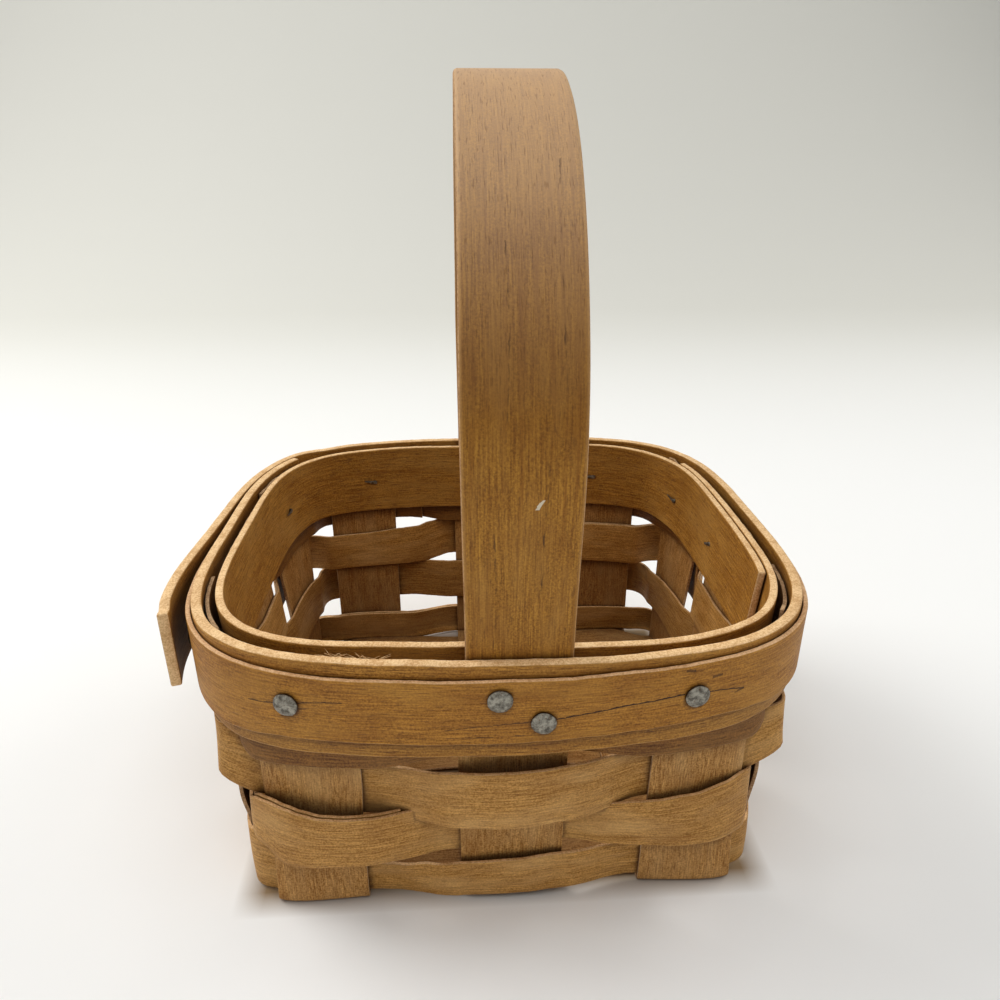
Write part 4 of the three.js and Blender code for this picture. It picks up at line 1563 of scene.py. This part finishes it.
@dataclass
class Handle:
    """One bent strip from front to back, thinned where it goes down behind the outer band."""

    width: float = 22.0
    thickness: float = 3.0
    end_thickness: float = 2.0
    height: float = 175.0
    arch_height: float = 76.0
    end_drop: float = 19.2
    shoulder: float = 3.5
    offset: float = 1.4
    lean: float = 1.2
    columns: int = 19
    step: float = 1.2
    rounding: float = 0.8
    rim_waist: float = 1.2
    # Above this height the handle is painted greyer and paler: partly wear, partly painted light on its
    # up-facing top.
    worn_and_lit_above: float = 118.0
    marks: tuple[Crack, ...] = (
        Crack(((32.1, -3.5), (40.4, -3.5), (48.2, -3.7), (55.7, -4.1), (61.2, -3.8)), 0.13, True, 0.7),
        Crack(((20.0, 5.2), (31.0, 4.6), (46.0, 4.9)), 0.12, True, 0.6),
        Crack(((62.0, 3.0), (80.0, 2.4), (96.0, 2.8)), 0.13, True, 0.6),
        Crack(((70.0, -6.8), (92.0, -6.1), (112.0, -6.6)), 0.13, True, 0.55),
        Crack(((50.1, -2.3), (51.0, -2.7), (51.9, -3.3)), 0.3, False, 0.85, "#E6DCC4"),
    )
    finish: SplitWood = SplitWood(
        "handle_wood", dark="#7A4A0A", light="#BE862E", pale="#B4823A", fibre_width=0.4, fibre_length=11.0,
        streak_width=1.3, streak_length=46.0, pore_width=0.24, pore_length=2.6, pore_share=0.35,
        roughness=0.58, streak_share=0.6, patch=9.0)
    edge: SawnEdge = SawnEdge("handle_edge", dark="#94683C", light="#C29867")

    def line(self) -> list[Point]:
        """Lays the handle's outer face: a leg, an elliptical arch and the other leg.

        Returns:
            Pairs of y and z, from front to back.
        """
        reach = BASKET.rim_depth / 2 - BASKET.outer_band_thickness - BASKET.layer_gap
        arch_base = self.height - self.arch_height
        legs = [(-reach, z) for z in np.arange(BASKET.rim_height - self.end_drop, arch_base, self.step)]
        steps = round(math.pi * (self.arch_height + reach) / 2 / self.step)
        turns = [math.pi * i / steps for i in range(steps + 1)]
        arch = [(-reach * math.cos(turn), arch_base + self.arch_height * math.sin(turn)) for turn in turns]
        return legs + arch + [(-y, z) for y, z in legs[::-1]]

    def build(self, shop: Workshop) -> None:
        """Builds the handle from its outer face inwards.

        Args:
            shop: Keeps the piece.
        """
        line = self.line()
        grid = []
        for y, z in line:
            share = (z - BASKET.rim_height) / (self.height - BASKET.rim_height)
            centre = self.offset + self.lean * share
            waist = self.rim_waist * (1 - smooth_step(share * 2.4))
            half = (self.width - waist) / 2 + 0.12 * ripple(41, z / 20, y / 30)
            across = [mix(1, -1, j / (self.columns - 1)) for j in range(self.columns)]
            grid.append([Vector((centre + half * place, y, z)) for place in across])
        thin_share = self.end_thickness / self.thickness
        rim = BASKET.rim_height + BASKET.layer_gap

        def thin(i: int) -> float:
            """Returns the share of the thickness at a station."""
            return mix(thin_share, 1.0, smooth_step((line[i][1] - rim) / self.shoulder))

        strip = bend_strip("handle_bow", grid, self.thickness, self.rounding, offset=-1.0, thin=thin)
        finish = self.finish.material(31, self.marks, self.worn_and_lit_above)
        shop.keep(strip, "handle", "handle_wood", finish, self.edge.material(31))


@dataclass(frozen=True)
class TackPlace:
    """Where one tack is driven: the wall, its x or y there, and its drop below the rim, in mm."""

    node: str
    side: Side
    along: float
    drop: float


@dataclass
class Tacks:
    """Hammered steel tacks through the bands, with their points bent over inside. Sizes in mm."""

    head: float = 4.9
    head_height: float = 0.9
    rings: int = 4
    shank: float = 1.5
    taper: float = 1.1
    point: float = 3.4
    sink: float = 0.25
    upper: float = 6.6
    lower: float = 11.5
    wall: float = 10.9

    def places(self) -> list[TackPlace]:
        """Lists where the twelve tacks are.

        Returns:
            Their places.
        """
        left, _, right = BASKET.posts_x
        front, middle, back = BASKET.posts_y
        handle = Handle().offset
        return [
            TackPlace("tack_front_left", Side.FRONT, left - 0.4, self.upper + 1.1),
            TackPlace("tack_front_handle_upper", Side.FRONT, handle - 4.0, self.upper - 0.3),
            TackPlace("tack_front_handle_lower", Side.FRONT, handle + 4.3, self.lower + 0.3),
            TackPlace("tack_front_right", Side.FRONT, right - 6.4, self.upper + 1.6),
            TackPlace("tack_right_middle", Side.RIGHT, middle + 3.0, self.wall),
            TackPlace("tack_right_back", Side.RIGHT, back, self.wall),
            TackPlace("tack_back_right", Side.BACK, right - 4.0, self.wall),
            TackPlace("tack_back_handle_upper", Side.BACK, handle + 4.0, self.upper),
            TackPlace("tack_back_handle_lower", Side.BACK, handle - 4.0, self.lower),
            TackPlace("tack_back_left", Side.BACK, left + 3.5, self.wall),
            TackPlace("tack_left_back", Side.LEFT, back - 0.5, self.wall),
            TackPlace("tack_left_front", Side.LEFT, front + 1.0, self.wall),
        ]

    def build(self, shop: Workshop) -> None:
        """Builds the twelve tacks, each hammered a little differently.

        Args:
            shop: Keeps the pieces.
        """
        steel = TackSteel().material()
        for number, place in enumerate(self.places()):
            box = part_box(place.node)
            shop.keep(self.tack(place, number, box), place.node, "tack_steel", steel)

    def tack(self, place: TackPlace, number: int, box: tuple) -> Piece:
        """Makes one tack where it is driven.

        Args:
            place: Where it is.
            number: Its number, for its dents and the way that its point lies.
            box: The corners of the box round its node, in metres.
        Returns:
            The tack.
        """
        bands = RimBands()
        angle = BASKET.angle_on(BASKET.rim.point, place.side, place.along)
        turn = turned_from(0, angle)
        on_trim = turn >= bands.trim_start or turn <= bands.trim_end - FULL_TURN
        seat = bands.head_gap + bands.trim_thickness if on_trim else bands.tail_stand_off(turn + FULL_TURN)
        x, y = BASKET.rim.offset(angle, seat + bands.head_gap)
        bx, by = BASKET.rim.point(angle)
        outward = Vector((x - bx, y - by, 0)).normalized()
        span = Vector(box[1]) - Vector(box[0])
        through = (abs(span.x * outward.x) + abs(span.y * outward.y)) / MM
        tack = self.forge(f"{place.node}_steel", through - self.head_height - 1.6)
        self.hammer(tack, number)
        lean = math.radians((5 + number * 37) % 50 - 25)
        turn_about = outward.to_track_quat("Z", "Y") @ Quaternion((0, 0, 1), lean)
        place_at = Vector((x, y, BASKET.rim_height - place.drop)) * MM
        for vertex in tack.data.vertices:
            vertex.co = turn_about @ vertex.co + place_at
        round_edges(tack, 0.12, 50)
        smooth(tack, 40)
        return tack

    def forge(self, name: str, length: float) -> Piece:
        """Makes a tack on the origin: a flat head in rings, a shank, and a point bent over.

        Args:
            name: The piece's name.
            length: How far the shank goes in before it tapers, in mm.
        Returns:
            The tack.
        """
        bpy.ops.object.select_all(action="DESELECT")
        radius, height = self.head / 2 * MM, self.head_height * MM
        bpy.ops.mesh.primitive_cylinder_add(vertices=28, radius=radius, depth=height, end_fill_type="NGON",
                                            location=(0, 0, self.head_height / 2 * MM))
        tack = bpy.context.object
        tack.name = name
        bpy.ops.object.transform_apply(location=True, rotation=True, scale=True)
        self.pick_faces(tack, 1)
        for _ in range(self.rings):
            bpy.ops.mesh.inset(thickness=radius * 0.17, depth=0.0)
        self.pick_faces(tack, -1)
        bpy.ops.mesh.inset(thickness=(self.head / 2 - self.shank / 2) * MM, depth=0.0)
        bpy.ops.mesh.extrude_region_move(TRANSFORM_OT_translate={"value": (0, 0, -length * MM)})
        tip = -(length + self.taper) * MM
        bpy.ops.mesh.extrude_region_move(TRANSFORM_OT_translate={"value": (0, 0, -self.taper * MM)})
        bpy.ops.transform.resize(value=(0.75, 0.75, 1), center_override=(0, 0, tip))
        bent = {"value": (self.point * MM, 0, -self.sink * MM)}
        bpy.ops.mesh.extrude_region_move(TRANSFORM_OT_translate=bent)
        middle = (self.point * MM, 0, tip - 0.2 * MM)
        bpy.ops.transform.resize(value=(0.3, 0.45, 0.3), center_override=middle)
        bpy.ops.object.mode_set(mode="OBJECT")
        return tack

    def pick_faces(self, tack: Piece, way: int) -> None:
        """Goes into edit mode with only the faces that look up or down selected.

        Args:
            tack: The tack.
            way: 1 for up and -1 for down.
        """
        bpy.ops.object.mode_set(mode="EDIT")
        bpy.ops.mesh.select_all(action="DESELECT")
        bpy.ops.object.mode_set(mode="OBJECT")
        for face in tack.data.polygons:
            face.select = face.normal.z * way > 0.9
        bpy.ops.object.mode_set(mode="EDIT")

    def hammer(self, tack: Piece, number: int) -> None:
        """Domes a tack's head and beats its rim and face a little out of true.

        Args:
            tack: The tack, on the origin.
            number: Its number.
        """
        top, radius = self.head_height * MM, self.head / 2 * MM
        for vertex in tack.data.vertices:
            co = vertex.co
            if co.z < -0.01 * MM:
                continue
            reach = math.hypot(co.x, co.y) / radius
            turn = math.atan2(co.y, co.x)
            if co.z > top * 0.5:
                dent = ripple(number + 51, co.x / MM, co.y / MM)
                co.z = top * (1 - 0.55 * reach ** 3.2) + 0.07 * MM * dent
            if reach > 0.3:
                grow = 1 + 0.05 * ripple(number + 61, math.cos(turn) * 1.4, math.sin(turn) * 1.4)
                co.x *= grow
                co.y *= grow


@dataclass(frozen=True)
class Lamp:
    """A soft square lamp that looks at the basket: its place and side in metres, watts and colour."""

    name: str
    place: tuple[float, float, float]
    size: float
    watts: float
    colour: tuple[float, float, float]


@dataclass
class Studio:
    """The floor that curves up into a backdrop, the lamps, and the camera.

    The camera's and the basket's sizes are in mm and degrees, and the sweep's in metres.
    """

    camera_place: tuple[float, float, float] = (-9.417, -182.786, 157.524)
    lens: float = 27.67
    yaw: float = 3.362
    pitch: float = 23.802
    roll: float = 0.086
    floor: str = "#F0F1F1"
    wall: str = "#D8D8D2"
    # Colour of the painted contact shadow under the basket; the next line gives its half size.
    under: str = "#8A7355"
    contact_shadow_half: Point = (61.0, 55.5)
    half_width: float = 2.2
    front: float = -1.4
    flat: float = 2.0
    bend: float = 0.6
    rise: float = 1.6
    world: str = "#F3F2EF"
    world_light: float = 0.31
    world_seen: float = 0.75
    lamps: tuple[Lamp, ...] = (
        Lamp("top", (0.0, -0.3, 1.2), 1.0, 6.2, (1.0, 0.99, 0.98)),
        Lamp("key", (-0.85, 0.4, 0.95), 0.7, 10.5, (1.0, 0.985, 0.96)),
        Lamp("side", (0.95, 0.35, 0.8), 0.8, 4.2, (1.0, 0.985, 0.96)),
    )

    def build(self) -> None:
        """Builds the stage and sets the scene's camera and view."""
        self.add_floor()
        self.add_camera()
        for lamp in self.lamps:
            self.add_lamp(lamp)
        self.add_world()
        bpy.context.scene.view_settings.view_transform = "Standard"

    def add_floor(self) -> None:
        """Adds the pale sweep: a floor, a bend and a wall."""
        bpy.ops.object.select_all(action="DESELECT")
        bpy.ops.mesh.primitive_grid_add(x_subdivisions=8, y_subdivisions=48, size=2)
        sweep = bpy.context.object
        sweep.name = "floor_sweep"
        arc = self.bend * math.pi / 2
        for vertex in sweep.data.vertices:
            run = (vertex.co.y + 1) / 2 * (self.flat + arc + self.rise)
            turn = min(max(0.0, run - self.flat) / self.bend, math.pi / 2)
            y = self.front + min(run, self.flat) + self.bend * math.sin(turn)
            z = self.bend * (1 - math.cos(turn)) + max(0.0, run - self.flat - arc)
            vertex.co = (vertex.co.x * self.half_width, y, z)
        bpy.ops.object.shade_smooth()
        sweep.data.materials.append(self.sweep_material())
        sweep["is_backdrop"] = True

    def sweep_material(self) -> Material:
        """Makes the sweep's finish: matt and pale, with a painted contact shadow under the basket.

        Returns:
            The material.
        """
        material, tree, shader, place = new_material("pale_sweep")
        cloudy = add_node(tree, "TexNoise", {"Vector": place, "Scale": 3.0, "Detail": 2.0})
        x, y = [add_node(tree, "SeparateXYZ", {0: place}, axis) for axis in (0, 1)]
        back = add_node(tree, "MapRange", {"Value": y, "From Min": 0.1, "From Max": 0.75},
                        interpolation_type="SMOOTHSTEP")
        shade = add_node(tree, "Math", {0: cloudy, 1: 0.06, 2: back}, operation="MULTIPLY_ADD")
        # Painted contact shadow: the floor under the basket is darkened.
        inside = []
        for distance, half in zip((x, y), self.contact_shadow_half):
            away = add_node(tree, "Math", {0: distance}, operation="ABSOLUTE")
            inside.append(add_node(tree, "MapRange", {
                "Value": away, "From Min": (half + 3) * MM, "From Max": (half - 4) * MM}))
        under = add_node(tree, "Math", dict(enumerate(inside)), operation="MULTIPLY")
        colour = lay_coats(tree, self.floor, [Coat(shade, self.wall), Coat(under, self.under)])
        feed(shader, {"Base Color": colour, "Roughness": 0.9})
        return material

    def add_camera(self) -> None:
        """Adds the camera where the photograph was taken from."""
        data = bpy.data.cameras.new("photo_view")
        data.lens = self.lens
        data.sensor_width = 36.0
        data.clip_start = 0.01
        camera = bpy.data.objects.new("photo_view", data)
        bpy.context.collection.objects.link(camera)
        camera.location = Vector(self.camera_place) * MM
        turn = Euler((math.radians(90 - self.pitch), 0, math.radians(-self.yaw))).to_quaternion()
        camera.rotation_mode = "QUATERNION"
        camera.rotation_quaternion = turn @ Quaternion((0, 0, 1), math.radians(-self.roll))
        bpy.context.scene.camera = camera

    def add_lamp(self, lamp: Lamp) -> None:
        """Adds one soft lamp, turned to the basket.

        Args:
            lamp: The lamp.
        """
        data = bpy.data.lights.new(lamp.name, "AREA")
        data.size, data.energy, data.color = lamp.size, lamp.watts, lamp.colour
        light = bpy.data.objects.new(lamp.name, data)
        bpy.context.collection.objects.link(light)
        light.location = lamp.place
        light.rotation_mode = "QUATERNION"
        light.rotation_quaternion = (Vector((0, 0, 0.06)) - Vector(lamp.place)).to_track_quat("-Z", "Y")

    def add_world(self) -> None:
        """Adds an even pale world, which is seen brighter than it lights."""
        world = bpy.data.worlds.new("pale_room")
        bpy.context.scene.world = world
        world.use_nodes = True
        tree = world.node_tree
        seen = add_node(tree, "LightPath", output="Is Camera Ray")
        for kind in ("Is Glossy Ray", "Is Transmission Ray"):
            ray = add_node(tree, "LightPath", output=kind)
            seen = add_node(tree, "Math", {0: seen, 1: ray}, operation="MAXIMUM")
        strength = add_node(tree, "MapRange", {
            "Value": seen, "To Min": self.world_light, "To Max": self.world_seen})
        feed(tree.nodes["Background"], {"Color": linear(self.world), "Strength": strength})


def main() -> None:
    """Builds the basket, then the stage."""
    logging.basicConfig(level=logging.INFO, format="%(name)s: %(message)s")
    shop = Workshop()
    for assembly in (Staves(), WovenRows(), RimBands(), Handle(), Tacks()):
        assembly.build(shop)
    # Paints shade into every piece's colour by ray casting.
    shop.paint_shade()
    Studio().build()
    boxes = {"cad": CAD_BOX, "visual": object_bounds()}
    plain = {name: [[float(value) for value in corner] for corner in box] for name, box in boxes.items()}


if __name__ == "__main__":
    main()
